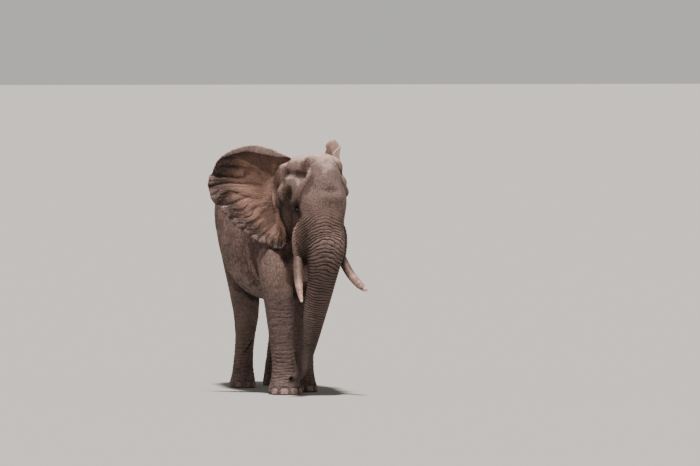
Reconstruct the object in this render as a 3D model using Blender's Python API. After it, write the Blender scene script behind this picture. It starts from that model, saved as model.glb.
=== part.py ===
"""A life-size, still model of an adult bull African bush elephant, standing with one forefoot ahead.

World frame: +X is the animal's left, -Y is forward, +Z is up, and the soles stand on Z = 0.
Every form is given by stations in metres along the body: forward, left and up.
The flesh is one fused shape, parted afterwards by thin cuts where a person would name its parts.
"""

import math

import bmesh
import bpy
import numpy as np
from mathutils import Matrix, Vector

# Driving dimensions.
CUT = 0.0004  # gap left by each parting cut and round each inset piece
VOXEL = 0.022  # grain of the fused flesh before it is thinned
FLESH_TRIANGLES = 1980  # before the cuts, which add about as many again
EYE_POINT = (1.50, 0.115, 2.385)  # forward, left, up of the point midway between the eyes
HEAD_YAW = math.radians(6.0)  # the head is turned to the animal's left
EYE_RADIUS = 0.021
SIDE_ROUNDS = 90  # of smoothing at the sides of the head
RING_POINTS = 40

SKIN_COLOUR = (0.19, 0.135, 0.118, 1)
IVORY_COLOUR = (0.72, 0.60, 0.47, 1)
NAIL_COLOUR = (0.34, 0.27, 0.23, 1)
EYE_COLOUR = (0.05, 0.025, 0.012, 1)
HAIR_COLOUR = (0.02, 0.016, 0.014, 1)


def at(forward, left, up):
    return np.array((left, -forward, up))


def in_head(forward, left, up):
    """A place given from the point between the eyes, in the turned head's own directions."""
    turned_forward = forward * math.cos(HEAD_YAW) - left * math.sin(HEAD_YAW)
    turned_left = forward * math.sin(HEAD_YAW) + left * math.cos(HEAD_YAW)
    return at(EYE_POINT[0] + turned_forward, EYE_POINT[1] + turned_left, EYE_POINT[2] + up)


def smooth_rows(rows, count):
    """The rows of a station table, filled in along a Catmull-Rom curve to count rows."""
    rows = np.array(rows, float)
    padded = np.vstack([2 * rows[0] - rows[1], rows, 2 * rows[-1] - rows[-2]])
    where = np.linspace(0, len(rows) - 1, count)
    first = np.minimum(where.astype(int), len(rows) - 2)
    t = (where - first)[:, None]
    a, b, c, d = (padded[first + k] for k in range(4))
    return 0.5 * (2 * b + (c - a) * t + (2 * a - 5 * b + 4 * c - d) * t**2 + (3 * b - a - 3 * c + d) * t**3)


def unit_ring(power=1.0, points=RING_POINTS):
    """Cosine and sine round a circle, squared up where power is under 1."""
    turn = np.linspace(0, 2 * math.pi, points, endpoint=False)
    c, s = np.cos(turn), np.sin(turn)
    return np.sign(c) * np.abs(c) ** power, np.sign(s) * np.abs(s) ** power


def closed_mesh(name, points, faces):
    mesh = bpy.data.meshes.new(name)
    mesh.from_pydata([tuple(p) for p in points], [], faces)
    bm = bmesh.new()
    bm.from_mesh(mesh)
    bmesh.ops.triangulate(bm, faces=bm.faces)
    bmesh.ops.recalc_face_normals(bm, faces=bm.faces)
    if bm.calc_volume(signed=True) < 0:
        bmesh.ops.reverse_faces(bm, faces=bm.faces)
    bm.to_mesh(mesh)
    bm.free()
    made = bpy.data.objects.new(name, mesh)
    bpy.context.scene.collection.objects.link(made)
    return made


def loft(name, rings):
    """A closed skin over rings of equal point count, with a flat face on each end."""
    rings = np.array(rings)
    count, around = rings.shape[:2]
    faces = []
    for low in range(0, (count - 1) * around, around):
        high = low + around
        for j in range(around):
            k = (j + 1) % around
            faces.append((low + j, low + k, high + k, high + j))
    faces += [tuple(range(around)), tuple((count - 1) * around + j for j in range(around))]
    return closed_mesh(name, rings.reshape(-1, 3), faces)


def barrel(name, stations, count=36):
    """Upright rings along the body. A station is forward, left, top, bottom, half width, height of the
    widest line as a share, and how peaked the top is."""
    rings = []
    for forward, left, top, bottom, half_width, widest, peak in smooth_rows(stations, count):
        middle = bottom + (top - bottom) * widest
        c, s = unit_ring()
        width = half_width * np.sign(c) * np.abs(c) ** np.where(s > 0, peak, 0.86)
        height = np.where(s > 0, (top - middle) * s, (middle - bottom) * s)
        rings.append([at(forward, left + w, middle + h) for w, h in zip(width, height)])
    return loft(name, rings)


def column(name, stations, place=at, power=0.9, count=30):
    """Level rings down a leg or a face. A station is up, forward, left, half depth, half width."""
    rings = []
    for up, forward, left, half_depth, half_width in smooth_rows(stations, count):
        c, s = unit_ring(power)
        rings.append([place(forward + half_depth * a, left + half_width * b, up) for a, b in zip(c, s)])
    return loft(name, rings)


def tube(name, stations, power=0.95, count=60, points=32):
    """Rings square to a path. A station is forward, left, up, half width, half depth."""
    rows = smooth_rows(stations, count)
    path = np.array([at(*row[:3]) for row in rows])
    along = np.gradient(path, axis=0)
    along /= np.linalg.norm(along, axis=1)[:, None]
    side = np.array((1.0, 0.0, 0.0))
    rings = []
    c, s = unit_ring(power, points)
    for centre, ahead, row in zip(path, along, rows):
        side = side - ahead * (side @ ahead)
        side /= np.linalg.norm(side)
        across = np.cross(ahead, side)
        rings.append(centre + np.outer(c * row[3], side) + np.outer(s * row[4], across))
    return loft(name, rings)


def ellipsoid(name, centre, radii, lean=(0.0, 0.0, 0.0), segments=24):
    """Radii run along X, Y and Z before the lean, in degrees about X, Y and Z."""
    bm = bmesh.new()
    bmesh.ops.create_uvsphere(bm, u_segments=segments, v_segments=segments // 2, radius=1.0)
    turn = Matrix.Identity(4)
    for axis, degrees in zip("XYZ", lean):
        turn = Matrix.Rotation(math.radians(degrees), 4, axis) @ turn
    bm.transform(Matrix.Translation(centre) @ turn @ Matrix.Diagonal((*radii, 1)))
    mesh = bpy.data.meshes.new(name)
    bm.to_mesh(mesh)
    bm.free()
    made = bpy.data.objects.new(name, mesh)
    bpy.context.scene.collection.objects.link(made)
    return made


def torso():
    return barrel(
        "torso_form",
        [
            (-1.50, 0.00, 2.34, 2.02, 0.06, 0.50, 1.0),
            (-1.45, 0.00, 2.50, 1.82, 0.22, 0.52, 1.0),
            (-1.28, 0.00, 2.66, 1.55, 0.40, 0.55, 1.0),
            (-1.03, 0.00, 2.79, 1.36, 0.52, 0.56, 1.1),
            (-0.73, 0.00, 2.85, 1.25, 0.60, 0.54, 1.2),
            (-0.35, 0.00, 2.80, 1.17, 0.655, 0.49, 1.2),
            (0.05, 0.00, 2.76, 1.14, 0.67, 0.46, 1.2),
            (0.42, 0.00, 2.81, 1.18, 0.64, 0.45, 1.2),
            (0.74, 0.00, 2.90, 1.27, 0.56, 0.46, 1.1),
            (0.98, 0.02, 2.88, 1.42, 0.46, 0.48, 1.0),
            (1.14, 0.04, 2.76, 1.62, 0.30, 0.50, 1.0),
            (1.20, 0.05, 2.50, 1.95, 0.10, 0.50, 1.0),
        ],
    )


def neck():
    return barrel(
        "neck_form",
        [
            (0.62, 0.00, 2.86, 1.75, 0.36, 0.5, 1.0),
            (0.85, 0.01, 2.93, 1.72, 0.39, 0.5, 1.0),
            (1.05, 0.04, 2.93, 1.80, 0.38, 0.5, 1.0),
            (1.25, 0.08, 2.94, 1.90, 0.37, 0.5, 1.0),
            (1.42, 0.10, 2.90, 2.00, 0.30, 0.5, 1.0),
        ],
        16,
    )


def head_forms():
    face = column(
        "face_form",
        [
            (0.650, -0.14, 0, 0.05, 0.05),
            (0.630, -0.12, 0, 0.16, 0.14),
            (0.58, -0.10, 0, 0.24, 0.185),
            (0.48, -0.07, 0, 0.30, 0.205),
            (0.38, -0.05, 0, 0.335, 0.225),
            (0.26, -0.045, 0, 0.365, 0.255),
            (0.15, -0.04, 0, 0.385, 0.295),
            (0.05, -0.04, 0, 0.390, 0.315),
            (-0.08, -0.045, -0.005, 0.385, 0.308),
            (-0.20, -0.05, -0.015, 0.380, 0.300),
            (-0.36, -0.055, -0.015, 0.370, 0.295),
            (-0.50, -0.06, -0.01, 0.350, 0.280),
            (-0.60, -0.06, -0.01, 0.315, 0.260),
            (-0.655, -0.05, 0, 0.27, 0.22),
            (-0.675, -0.04, 0, 0.20, 0.16),
        ],
        in_head,
        0.88,
    )
    lean = math.degrees(HEAD_YAW)
    balls = [
        ((-0.28, 0.0, 0.23), (0.34, 0.43, 0.410)),
        ((-0.30, 0.0, -0.18), (0.25, 0.385, 0.32)),
        ((-0.16, 0.0, -0.50), (0.15, 0.15, 0.19)),
    ]
    forms = [face]
    for side in (1, -1):
        balls += [
            ((-0.41, side * 0.31, 0.36), (0.15, 0.190, 0.180)),
            ((-0.20, side * 0.16, 0.44), (0.22, 0.18, 0.180)),
            ((-0.25, side * 0.352, 0.160), (0.17, 0.066, 0.150)),
            ((-0.12, side * 0.275, 0.260), (0.17, 0.100, 0.120)),
            ((-0.45, side * 0.39, 0.09), (0.11, 0.080, 0.250)),
            ((-0.04, side * 0.245, -0.46), (0.14, 0.072, 0.34)),
        ]
        ridge = [
            (0.10, 0.155, 0.43, 0.040),
            (0.10, 0.205, 0.33, 0.046),
            (0.055, 0.275, 0.235, 0.049),
            (-0.015, 0.328, 0.155, 0.050),
            (-0.07, 0.352, 0.08, 0.048),
            (-0.14, 0.362, 0.015, 0.042),
        ]
        places = [(*(in_head(u, side * l, w) * (1, -1, 1))[[1, 0, 2]], r, r) for u, l, w, r in ridge]
        forms.append(tube("brow_form", places, 1.0, 16, 12))
    return forms + [ellipsoid("head_form", in_head(*p), r, (0, 0, lean)) for p, r in balls]


def body_masses():
    """Shoulder blades, hips, breast and elbows."""
    balls = [((0.0, -0.98, 1.66), (0.26, 0.24, 0.26), 0)]
    for side in (1, -1):
        balls += [
            ((side * 0.36, -0.74, 2.16), (0.19, 0.34, 0.56), 8),
            ((side * 0.33, 0.84, 2.22), (0.25, 0.44, 0.50), -10),
            ((side * 0.18, 1.22, 2.10), (0.22, 0.26, 0.46), 0),
        ]
    return [ellipsoid("mass_form", place, radii, (lean, 0, 0)) for place, radii, lean in balls]


def trunk():
    return tube(
        "trunk_form",
        [
            (1.58, 0.13, 2.02, 0.26, 0.24),
            (1.62, 0.13, 1.82, 0.245, 0.235),
            (1.63, 0.115, 1.64, 0.205, 0.20),
            (1.60, 0.095, 1.45, 0.178, 0.172),
            (1.55, 0.068, 1.24, 0.160, 0.155),
            (1.50, 0.035, 1.03, 0.144, 0.140),
            (1.46, -0.012, 0.75, 0.118, 0.115),
            (1.44, -0.062, 0.50, 0.090, 0.088),
            (1.46, -0.120, 0.33, 0.073, 0.071),
            (1.49, -0.195, 0.245, 0.063, 0.060),
            (1.51, -0.280, 0.218, 0.050, 0.047),
            (1.512, -0.305, 0.212, 0.044, 0.041),
        ],
    )


def leg_forms():
    fore_right = [
        (2.15, 0.80, -0.30, 0.26, 0.13),
        (1.85, 0.84, -0.33, 0.27, 0.175),
        (1.56, 0.92, -0.315, 0.245, 0.200),
        (1.28, 0.95, -0.286, 0.205, 0.185),
        (1.00, 0.965, -0.260, 0.175, 0.167),
        (0.72, 0.975, -0.250, 0.155, 0.143),
        (0.54, 0.975, -0.232, 0.145, 0.134),
        (0.35, 0.97, -0.205, 0.150, 0.146),
        (0.17, 0.975, -0.198, 0.178, 0.172),
        (0.06, 0.985, -0.197, 0.214, 0.205),
        (-0.05, 0.985, -0.197, 0.220, 0.211),
    ]
    fore_left = [
        (2.15, 0.74, 0.30, 0.26, 0.13),
        (1.85, 0.73, 0.33, 0.27, 0.175),
        (1.56, 0.70, 0.30, 0.245, 0.200),
        (1.28, 0.65, 0.238, 0.205, 0.202),
        (1.00, 0.60, 0.192, 0.178, 0.182),
        (0.72, 0.535, 0.184, 0.158, 0.154),
        (0.54, 0.49, 0.180, 0.147, 0.136),
        (0.35, 0.45, 0.170, 0.150, 0.146),
        (0.17, 0.44, 0.163, 0.178, 0.172),
        (0.06, 0.445, 0.160, 0.214, 0.205),
        (-0.05, 0.445, 0.160, 0.220, 0.211),
    ]
    hind_right = [
        (2.25, -0.90, -0.26, 0.36, 0.20),
        (1.90, -0.82, -0.295, 0.35, 0.225),
        (1.60, -0.71, -0.295, 0.31, 0.21),
        (1.35, -0.62, -0.285, 0.255, 0.19),
        (1.12, -0.57, -0.27, 0.205, 0.17),
        (0.90, -0.60, -0.25, 0.170, 0.145),
        (0.66, -0.67, -0.242, 0.140, 0.118),
        (0.46, -0.735, -0.24, 0.130, 0.113),
        (0.30, -0.765, -0.242, 0.135, 0.118),
        (0.17, -0.76, -0.246, 0.160, 0.130),
        (0.06, -0.745, -0.255, 0.200, 0.150),
        (-0.05, -0.745, -0.255, 0.207, 0.156),
    ]
    hind_left = [
        (2.25, -0.94, 0.26, 0.36, 0.20),
        (1.90, -0.92, 0.295, 0.35, 0.225),
        (1.60, -0.86, 0.295, 0.31, 0.21),
        (1.35, -0.83, 0.295, 0.255, 0.19),
        (1.12, -0.84, 0.295, 0.205, 0.17),
        (0.90, -0.90, 0.295, 0.170, 0.145),
        (0.66, -0.99, 0.297, 0.140, 0.118),
        (0.46, -1.08, 0.295, 0.130, 0.113),
        (0.30, -1.12, 0.29, 0.135, 0.118),
        (0.17, -1.12, 0.287, 0.160, 0.130),
        (0.06, -1.10, 0.285, 0.200, 0.150),
        (-0.05, -1.10, 0.285, 0.207, 0.156),
    ]
    legs = (fore_right, fore_left, hind_right, hind_left)
    return [column("leg_form", rows, power=0.95) for rows in legs]


# The right ear, rib by rib from its top to its lobe: root out and up, rim out and up, and the width
# of the rolled edge. Out runs from the head to the rim, from the ear's hinge.
EAR_HINGE = (-0.43, 0.45, 0.42)
EAR_RIBS = [
    (-0.20, 0.03, -0.22, 0.150, 0.000),
    (-0.12, 0.04, -0.08, 0.215, 0.040),
    (-0.05, 0.03, 0.09, 0.285, 0.105),
    (-0.02, 0.00, 0.28, 0.315, 0.130),
    (-0.015, -0.05, 0.51, 0.262, 0.070),
    (-0.01, -0.10, 0.705, 0.140, 0.020),
    (-0.01, -0.16, 0.83, -0.05, 0.000),
    (-0.01, -0.22, 0.875, -0.19, 0.000),
    (-0.015, -0.29, 0.80, -0.40, 0.000),
    (-0.03, -0.36, 0.655, -0.55, 0.000),
    (-0.04, -0.43, 0.465, -0.725, 0.000),
    (-0.06, -0.51, 0.285, -0.865, 0.000),
    (-0.08, -0.59, 0.09, -0.93, 0.000),
    (-0.11, -0.66, -0.035, -0.985, 0.000),
    (-0.13, -0.72, -0.125, -0.955, 0.000),
    (-0.14, -0.76, -0.155, -0.84, 0.000),
]
EAR_THICK = 0.019


def ear_sheet(side, sweeps, cup_depth, roll_start, lift, ribs=21, steps=9, roll=0.024):
    """Points of an ear's middle layer, rib by rib. The sweep back from straight out goes from the
    second angle on the ribs that rise to the third on those that hang; the root keeps the first.
    The rim's roll grows over a quarter metre from its start."""
    points = []
    rooted = np.array((-math.sin(sweeps[0]), side * math.cos(sweeps[0])))
    hinge = np.array(EAR_HINGE) * (1, side, 1) + (0, 0, lift)
    for number, (root_out, root_up, rim_out, rim_up, flap) in enumerate(smooth_rows(EAR_RIBS, ribs)):
        rise = min(max((rim_up + 0.45) / 0.75, 0.0), 1.0)
        sweep = sweeps[2] + (sweeps[1] - sweeps[2]) * rise
        out = np.array((-math.sin(sweep), side * math.cos(sweep)))
        face = np.array((math.cos(sweep), side * math.sin(sweep), 0))
        root = hinge + np.array((*(rooted * root_out), root_up))
        rim = hinge + np.array((*(rooted * min(rim_out, 0.0) + out * max(rim_out, 0.0)), rim_up))
        length = np.linalg.norm(rim - root)
        along = (rim - root) / length
        flap = max(flap, 0.0) * min(max((rim_out - roll_start) / 0.25, 0.0), 1.0)
        bend = roll * min(1.0, flap / 0.05)
        curl = math.pi * 0.93
        straight = length - bend
        total = straight + curl * bend + flap
        size = min(1.0, length / 0.6)
        rib = []
        for step in np.linspace(0, 1, steps):
            way = step * total
            share = min(way / length, 1.0)
            front = 0.011 * size * share**2 * math.sin(number * 2.1)
            front -= cup_depth * size * math.sin(math.pi * share**0.9)
            if way > straight and bend > 1e-4:
                turn = min((way - straight) / bend, curl)
                past = max(0.0, way - straight - curl * bend)
                front += bend * (1 - math.cos(turn)) + past * math.sin(turn)
                way = straight + bend * math.sin(turn) + past * math.cos(turn)
            rib.append(in_head(*(root + along * way + face * front)))
        points.append(rib)
    return np.array(points)


def ear(name, side, sweeps, cup_depth, roll_start, lift):
    sheet = ear_sheet(side, [math.radians(angle) for angle in sweeps], cup_depth, roll_start, lift)
    ribs, steps = sheet.shape[:2]
    across = np.cross(np.gradient(sheet, axis=0), np.gradient(sheet, axis=1))
    across /= np.linalg.norm(across, axis=2)[:, :, None]
    rim = np.minimum(1.0, np.linspace(1, 0, steps) * 5 + 0.45)[None, :, None]
    half = across * EAR_THICK / 2 * rim
    front = (sheet + half).reshape(-1, 3)
    back = (sheet - half).reshape(-1, 3)
    total = ribs * steps
    faces = []
    for i in range(ribs - 1):
        for j in range(steps - 1):
            a, b, c, d = (i * steps + j, (i + 1) * steps + j, (i + 1) * steps + j + 1, i * steps + j + 1)
            faces += [(a, b, c, d), (total + d, total + c, total + b, total + a)]
    edge = [i * steps for i in range(ribs)] + [(ribs - 1) * steps + j for j in range(1, steps)]
    edge += [i * steps + steps - 1 for i in range(ribs - 2, -1, -1)] + list(range(steps - 2, 0, -1))
    for k, here in enumerate(edge):
        there = edge[(k + 1) % len(edge)]
        faces.append((here, there, total + there, total + here))
    return closed_mesh(name, np.vstack([front, back]), faces)


def tusk(name, side, drop, tip):
    """From inside its sheath down, forward and out, levelling a little to a tip, sharp or worn blunt."""
    rows = smooth_rows(
        [
            (-0.12, 0.195, -0.46, 0.050),
            (-0.05, 0.285, -0.650, 0.058),
            (0.10, 0.345, -0.65 - 0.50 * drop, 0.055),
            (0.27, 0.395, -0.65 - 0.82 * drop, 0.025 + tip),
            (0.38, 0.424, -0.65 - 0.95 * drop, 0.012 + tip),
            (0.42, 0.435, -0.65 - drop, tip),
        ],
        10,
    )
    path = np.array([in_head(u, side * l, w) for u, l, w, _ in rows])
    along = np.gradient(path, axis=0)
    along /= np.linalg.norm(along, axis=1)[:, None]
    first = np.cross(along, (0, 0, 1.0))
    first /= np.linalg.norm(first, axis=1)[:, None]
    second = np.cross(along, first)
    c, s = unit_ring(1.0, 12)
    rings = []
    for place, radius, a, b in zip(path, rows[:, 3], first, second):
        rings.append(place + radius * (np.outer(c, a) + np.outer(s, b)))
    return loft(name, rings)


def tail():
    return tube(
        "tail",
        [
            (-1.42, 0.00, 2.42, 0.085, 0.075),
            (-1.53, 0.00, 2.30, 0.070, 0.060),
            (-1.575, 0.00, 2.10, 0.052, 0.046),
            (-1.585, 0.00, 1.85, 0.040, 0.036),
            (-1.58, 0.01, 1.60, 0.032, 0.028),
            (-1.57, 0.01, 1.35, 0.026, 0.022),
            (-1.565, 0.01, 1.16, 0.022, 0.018),
        ],
        count=10,
        points=8,
    )


def tuft():
    """The hair at the tail's end, a flat brush of black bristle."""
    return tube(
        "tail_tuft",
        [
            (-1.565, 0.010, 1.200, 0.026, 0.022),
            (-1.566, 0.010, 1.100, 0.040, 0.027),
            (-1.572, 0.010, 0.960, 0.052, 0.028),
            (-1.580, 0.010, 0.840, 0.044, 0.022),
            (-1.586, 0.010, 0.740, 0.012, 0.008),
        ],
        count=8,
        points=10,
    )


def fuse(name, forms, grain, rounds):
    """All forms as one skin, its creases rounded."""
    joined = bmesh.new()
    for form in forms:
        joined.from_mesh(form.data)
        bpy.data.objects.remove(form, do_unlink=True)
    mesh = bpy.data.meshes.new(name)
    joined.to_mesh(mesh)
    joined.free()
    body = bpy.data.objects.new(name, mesh)
    bpy.context.scene.collection.objects.link(body)
    remesh = body.modifiers.new("fuse", "REMESH")
    remesh.mode = "VOXEL"
    remesh.voxel_size = grain
    smooth = body.modifiers.new("round", "SMOOTH")
    smooth.factor = 0.5
    smooth.iterations = rounds
    return settled(body)


def settled(thing):
    """The same object with its modifiers made into plain mesh."""
    bpy.context.view_layer.update()
    seen = thing.evaluated_get(bpy.context.evaluated_depsgraph_get())
    mesh = bpy.data.meshes.new_from_object(seen)
    thing.modifiers.clear()
    thing.data = mesh
    return thing


def spots_of(mesh):
    spots = np.empty(len(mesh.vertices) * 3, np.float32)
    mesh.vertices.foreach_get("co", spots)
    return spots.reshape(-1, 3).astype(float)


def facings_of(mesh):
    facings = np.empty(len(mesh.vertices) * 3, np.float32)
    mesh.vertex_normals.foreach_get("vector", facings)
    return facings.reshape(-1, 3).astype(float)


def nearness(spots, path, width):
    """One along the path, falling to nothing about twice the width away from it."""
    best = np.full(len(spots), 1e9)
    path = np.array(path)
    for a, b in zip(path[:-1], path[1:]):
        line = b - a
        share = np.clip((spots - a) @ line / max(line @ line, 1e-9), 0, 1)
        best = np.minimum(best, ((spots - a - share[:, None] * line) ** 2).sum(1))
    return np.exp(-best / width**2)


def soften_sides(flesh):
    """The bumps at each side of the head run into each other."""
    group = flesh.vertex_groups.new(name="soft")
    spots = spots_of(flesh.data)
    for side in (1, -1):
        path = [in_head(-0.30, side * 0.36, 0.30), in_head(-0.14, side * 0.34, 0.14)]
        weights = nearness(spots, path, 0.13)
        for number in np.flatnonzero(weights > 0.02):
            group.add([int(number)], float(weights[number]), "ADD")
    soften = flesh.modifiers.new("soften", "SMOOTH")
    soften.vertex_group = group.name
    soften.iterations = SIDE_ROUNDS
    settled(flesh)
    flesh.vertex_groups.clear()


def carve_details(body):
    """Hollows and ridges: a height over the skin, a width, and the path each follows."""
    strokes = []
    for side in (1, -1):
        strokes += [
            (-0.022, 0.045, [in_head(-0.20, side * 0.36, 0.38), in_head(0.00, side * 0.24, 0.35)]),
            (-0.014, 0.040, [in_head(-0.10, side * 0.36, 0.27), in_head(-0.13, side * 0.38, 0.10)]),
            (-0.030, 0.050, [in_head(-0.02, side * 0.34, -0.02), in_head(-0.04, side * 0.34, -0.10)]),
            (-0.030, 0.055, [in_head(0.03, side * 0.34, -0.13), in_head(-0.10, side * 0.34, -0.26)]),
            (-0.035, 0.200, [at(-0.42, side * 0.60, 2.42), at(-0.48, side * 0.62, 2.1)]),
            (-0.030, 0.120, [at(1.02, side * 0.42, 2.5), at(1.06, side * 0.42, 2.0)]),
            (-0.040, 0.050, [at(0.68, side * 0.50, 1.85), at(0.71, side * 0.43, 1.25)]),
            (0.020, 0.080, [at(0.95, side * 0.44, 2.55), at(0.80, side * 0.52, 1.95)]),
        ]
    strokes += [
        (-0.010, 0.050, [in_head(0.36, -0.18, 0.20), in_head(0.36, 0.18, 0.20)]),
        (0.014, 0.060, [in_head(0.36, -0.16, 0.10), in_head(0.36, 0.16, 0.10)]),
        (-0.02, 0.10, [in_head(-0.1, 0, 0.66), in_head(-0.45, 0, 0.6)]),
        (0.018, 0.060, [at(0.7, 0, 2.95), at(0.0, 0, 2.78), at(-0.75, 0, 2.88), at(-1.3, 0, 2.66)]),
    ]
    spots = spots_of(body.data)
    facings = facings_of(body.data)
    for height, width, path in strokes:
        spots += facings * (height * nearness(spots, path, width))[:, None]
    body.data.vertices.foreach_set("co", spots.astype(np.float32).ravel())
    body.data.update()


def thinned(body, triangles):
    body.data.calc_loop_triangles()
    thin = body.modifiers.new("thin", "DECIMATE")
    thin.ratio = triangles / len(body.data.loop_triangles)
    return settled(body)


def copy_of(thing, name):
    twin = bpy.data.objects.new(name, thing.data.copy())
    bpy.context.scene.collection.objects.link(twin)
    return twin


def grown(thing, by):
    twin = copy_of(thing, "grown")
    spots = spots_of(twin.data) + facings_of(twin.data) * by
    twin.data.vertices.foreach_set("co", spots.astype(np.float32).ravel())
    twin.data.update()
    return twin


def combine(thing, cutter, operation, own_crossings=False):
    cutter.hide_render = True
    cutter.display_type = "WIRE"
    cut = thing.modifiers.new("cut", "BOOLEAN")
    cut.operation = operation
    cut.solver = "EXACT"
    cut.use_self = own_crossings
    cut.object = cutter
    settled(thing)
    bpy.data.objects.remove(cutter, do_unlink=True)
    return thing


def block(low, high, lean=(0.0, 0.0, 0.0), pivot=(0.0, 0.0, 0.0), extra=0.0):
    """A box given as forward, left and up limits from its pivot, leaned about the pivot."""
    bm = bmesh.new()
    bmesh.ops.create_cube(bm, size=1.0)
    low = np.array(low) - extra
    high = np.array(high) + extra
    size = high - low
    middle = (high + low) / 2
    turn = Matrix.Identity(4)
    for axis, degrees in zip("XYZ", lean):
        turn = Matrix.Rotation(math.radians(degrees), 4, axis) @ turn
    shape = Matrix.Translation(at(*middle)) @ Matrix.Diagonal((size[1], size[0], size[2], 1))
    bm.transform(Matrix.Translation(pivot) @ turn @ shape)
    mesh = bpy.data.meshes.new("block")
    bm.to_mesh(mesh)
    bm.free()
    made = bpy.data.objects.new("block", mesh)
    bpy.context.scene.collection.objects.link(made)
    return made


def take(flesh, name, low, high, lean=(0.0, 0.0, 0.0), pivot=(0.0, 0.0, 0.0)):
    """Part a piece from the flesh, with a thin gap left round it."""
    piece = combine(copy_of(flesh, name), block(low, high, lean, pivot), "INTERSECT")
    combine(flesh, block(low, high, lean, pivot, CUT), "DIFFERENCE")
    return piece


# Each leg: where its foot stands (forward, left), its joint and top heights, then the back, front,
# inner and outer limits of its lower and upper lengths.
LEGS = {
    "fore_right": ((0.985, -0.197), (0.80, 1.52), (0.73, 1.28, 0.00, 0.60), (0.66, 1.28, 0.07, 0.66)),
    "fore_left": ((0.445, 0.160), (0.80, 1.52), (0.10, 0.76, -0.04, 0.60), (0.40, 1.00, 0.02, 0.66)),
    "hind_right": ((-0.745, -0.255), (0.98, 1.55), (-1.40, -0.20, 0.00, 0.60), (-1.60, -0.36, 0.04, 0.66)),
    "hind_left": ((-1.100, 0.285), (0.98, 1.55), (-1.60, -0.40, 0.00, 0.60), (-1.60, -0.54, 0.04, 0.66)),
}
FOOT_TOP = 0.20


def part_legs(flesh):
    pieces = {}
    for leg, ((forward, left), (joint, top), lower, upper) in LEGS.items():
        side = 1 if left > 0 else -1
        about = (forward - 0.26, forward + 0.26, side * left - 0.24, side * left + 0.24)
        parts = ("foot", "lower", "upper")
        floors = (-0.2, FOOT_TOP, joint)
        ceilings = (FOOT_TOP, joint, top)
        for part, under, over, limits in zip(parts, floors, ceilings, (about, lower, upper)):
            back, front, inner, outer = limits
            near, far = sorted((side * inner, side * outer))
            name = leg + "_" + part
            pieces[name] = take(flesh, name, (back, near, under + CUT), (front, far, over))
        combine(pieces[leg + "_foot"], block((-9, -9, 0), (9, 9, 9)), "INTERSECT")
    return pieces


def part_front(flesh):
    """Trunk in three lengths, then jaw, head and neck."""
    pieces = {}
    for part, low, high in (("lower", 0.05, 0.62), ("middle", 0.62, 1.17), ("upper", 1.17, 1.70)):
        name = "trunk_" + part
        pieces[name] = take(flesh, name, (1.30, -0.80, low + CUT), (2.10, 0.60, high))
    turn = math.degrees(HEAD_YAW)
    centre = in_head(0, 0, 0)
    nape = at(0.93, 0, 2.3)
    wedges = {
        "lower_jaw": ((-0.46, -0.18, -0.80), (-0.03, 0.18, -0.46), (0, 0, turn), centre),
        "head": ((-0.44, -0.80, -0.78), (0.80, 0.80, 0.90), (8, 0, turn), centre),
        "neck": ((0.0, -0.80, -0.62), (0.90, 0.80, 0.90), (17, 0, 0), nape),
    }
    for name, (low, high, lean, pivot) in wedges.items():
        pieces[name] = take(flesh, name, low, high, lean, pivot)
    return pieces


def nostrils(tip):
    """Two short pits in the trunk's end, which turns up to the animal's right."""
    for spread in (-0.024, 0.024):
        place = at(1.512 + spread, -0.310, 0.211)
        combine(tip, ellipsoid("pit", place, (0.050, 0.015, 0.019), (0, -12, 0), 8), "DIFFERENCE")


def surface_place(body, start, aim):
    hit, place, facing, _ = body.ray_cast(Vector(start), Vector(aim).normalized())
    return np.array(place), np.array(facing)


def eyes(head):
    made = {}
    for side, word in ((1, "left"), (-1, "right")):
        start = in_head(-0.055, side * 0.9, -0.055)
        place, _ = surface_place(head, start, in_head(-0.055, 0, -0.055) - start)
        inward = in_head(-0.10, 0, -0.05) - place
        centre = place + inward / np.linalg.norm(inward) * 0.010
        combine(head, ellipsoid("socket", centre, [EYE_RADIUS + CUT] * 3, segments=10), "DIFFERENCE")
        made["eye_" + word] = ellipsoid("eye_" + word, centre, [EYE_RADIUS] * 3, segments=10)
    return made


def nails(pieces):
    made = {}
    for leg, ((forward, left), *_) in LEGS.items():
        side = 1 if left > 0 else -1
        fore = leg.startswith("fore")
        turns = (-58, -20, 18, 54) if fore else (-40, 0, 38)
        deep, wide = (0.206, 0.196) if fore else (0.191, 0.141)
        foot = pieces[leg + "_foot"]
        for number, degrees in enumerate(turns, 1):
            turn = math.radians(degrees)
            place = at(forward + deep * math.cos(turn), left - side * wide * math.sin(turn), 0.050)
            lean = (-12, 0, -side * degrees)
            radii = np.array((0.051 if abs(degrees) < 30 else 0.043, 0.019, 0.040))
            name = f"nail_{leg}_{number}"
            combine(foot, ellipsoid("bed", place, radii + CUT, lean, 8), "DIFFERENCE")
            made[name] = ellipsoid(name, place, radii, lean, 8)
    return made


def largest_island(thing):
    """Keep the biggest connected body of a piece."""
    bm = bmesh.new()
    bm.from_mesh(thing.data)
    left = set(bm.verts)
    islands = []
    while left:
        first = left.pop()
        island = {first}
        front = [first]
        while front:
            for edge in front.pop().link_edges:
                for vert in edge.verts:
                    if vert in left:
                        left.remove(vert)
                        island.add(vert)
                        front.append(vert)
        islands.append(island)
    keep = max(islands, key=len)
    bmesh.ops.delete(bm, geom=[v for v in bm.verts if v not in keep], context="VERTS")
    bm.to_mesh(thing.data)
    bm.free()
    return len(islands)


def material(name, colour, roughness):
    made = bpy.data.materials.new(name)
    made.use_nodes = True
    surface = made.node_tree.nodes["Principled BSDF"]
    surface.inputs["Base Color"].default_value = colour
    surface.inputs["Roughness"].default_value = roughness
    surface.inputs["Metallic"].default_value = 0.0
    made.diffuse_color = colour
    return made


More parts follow.
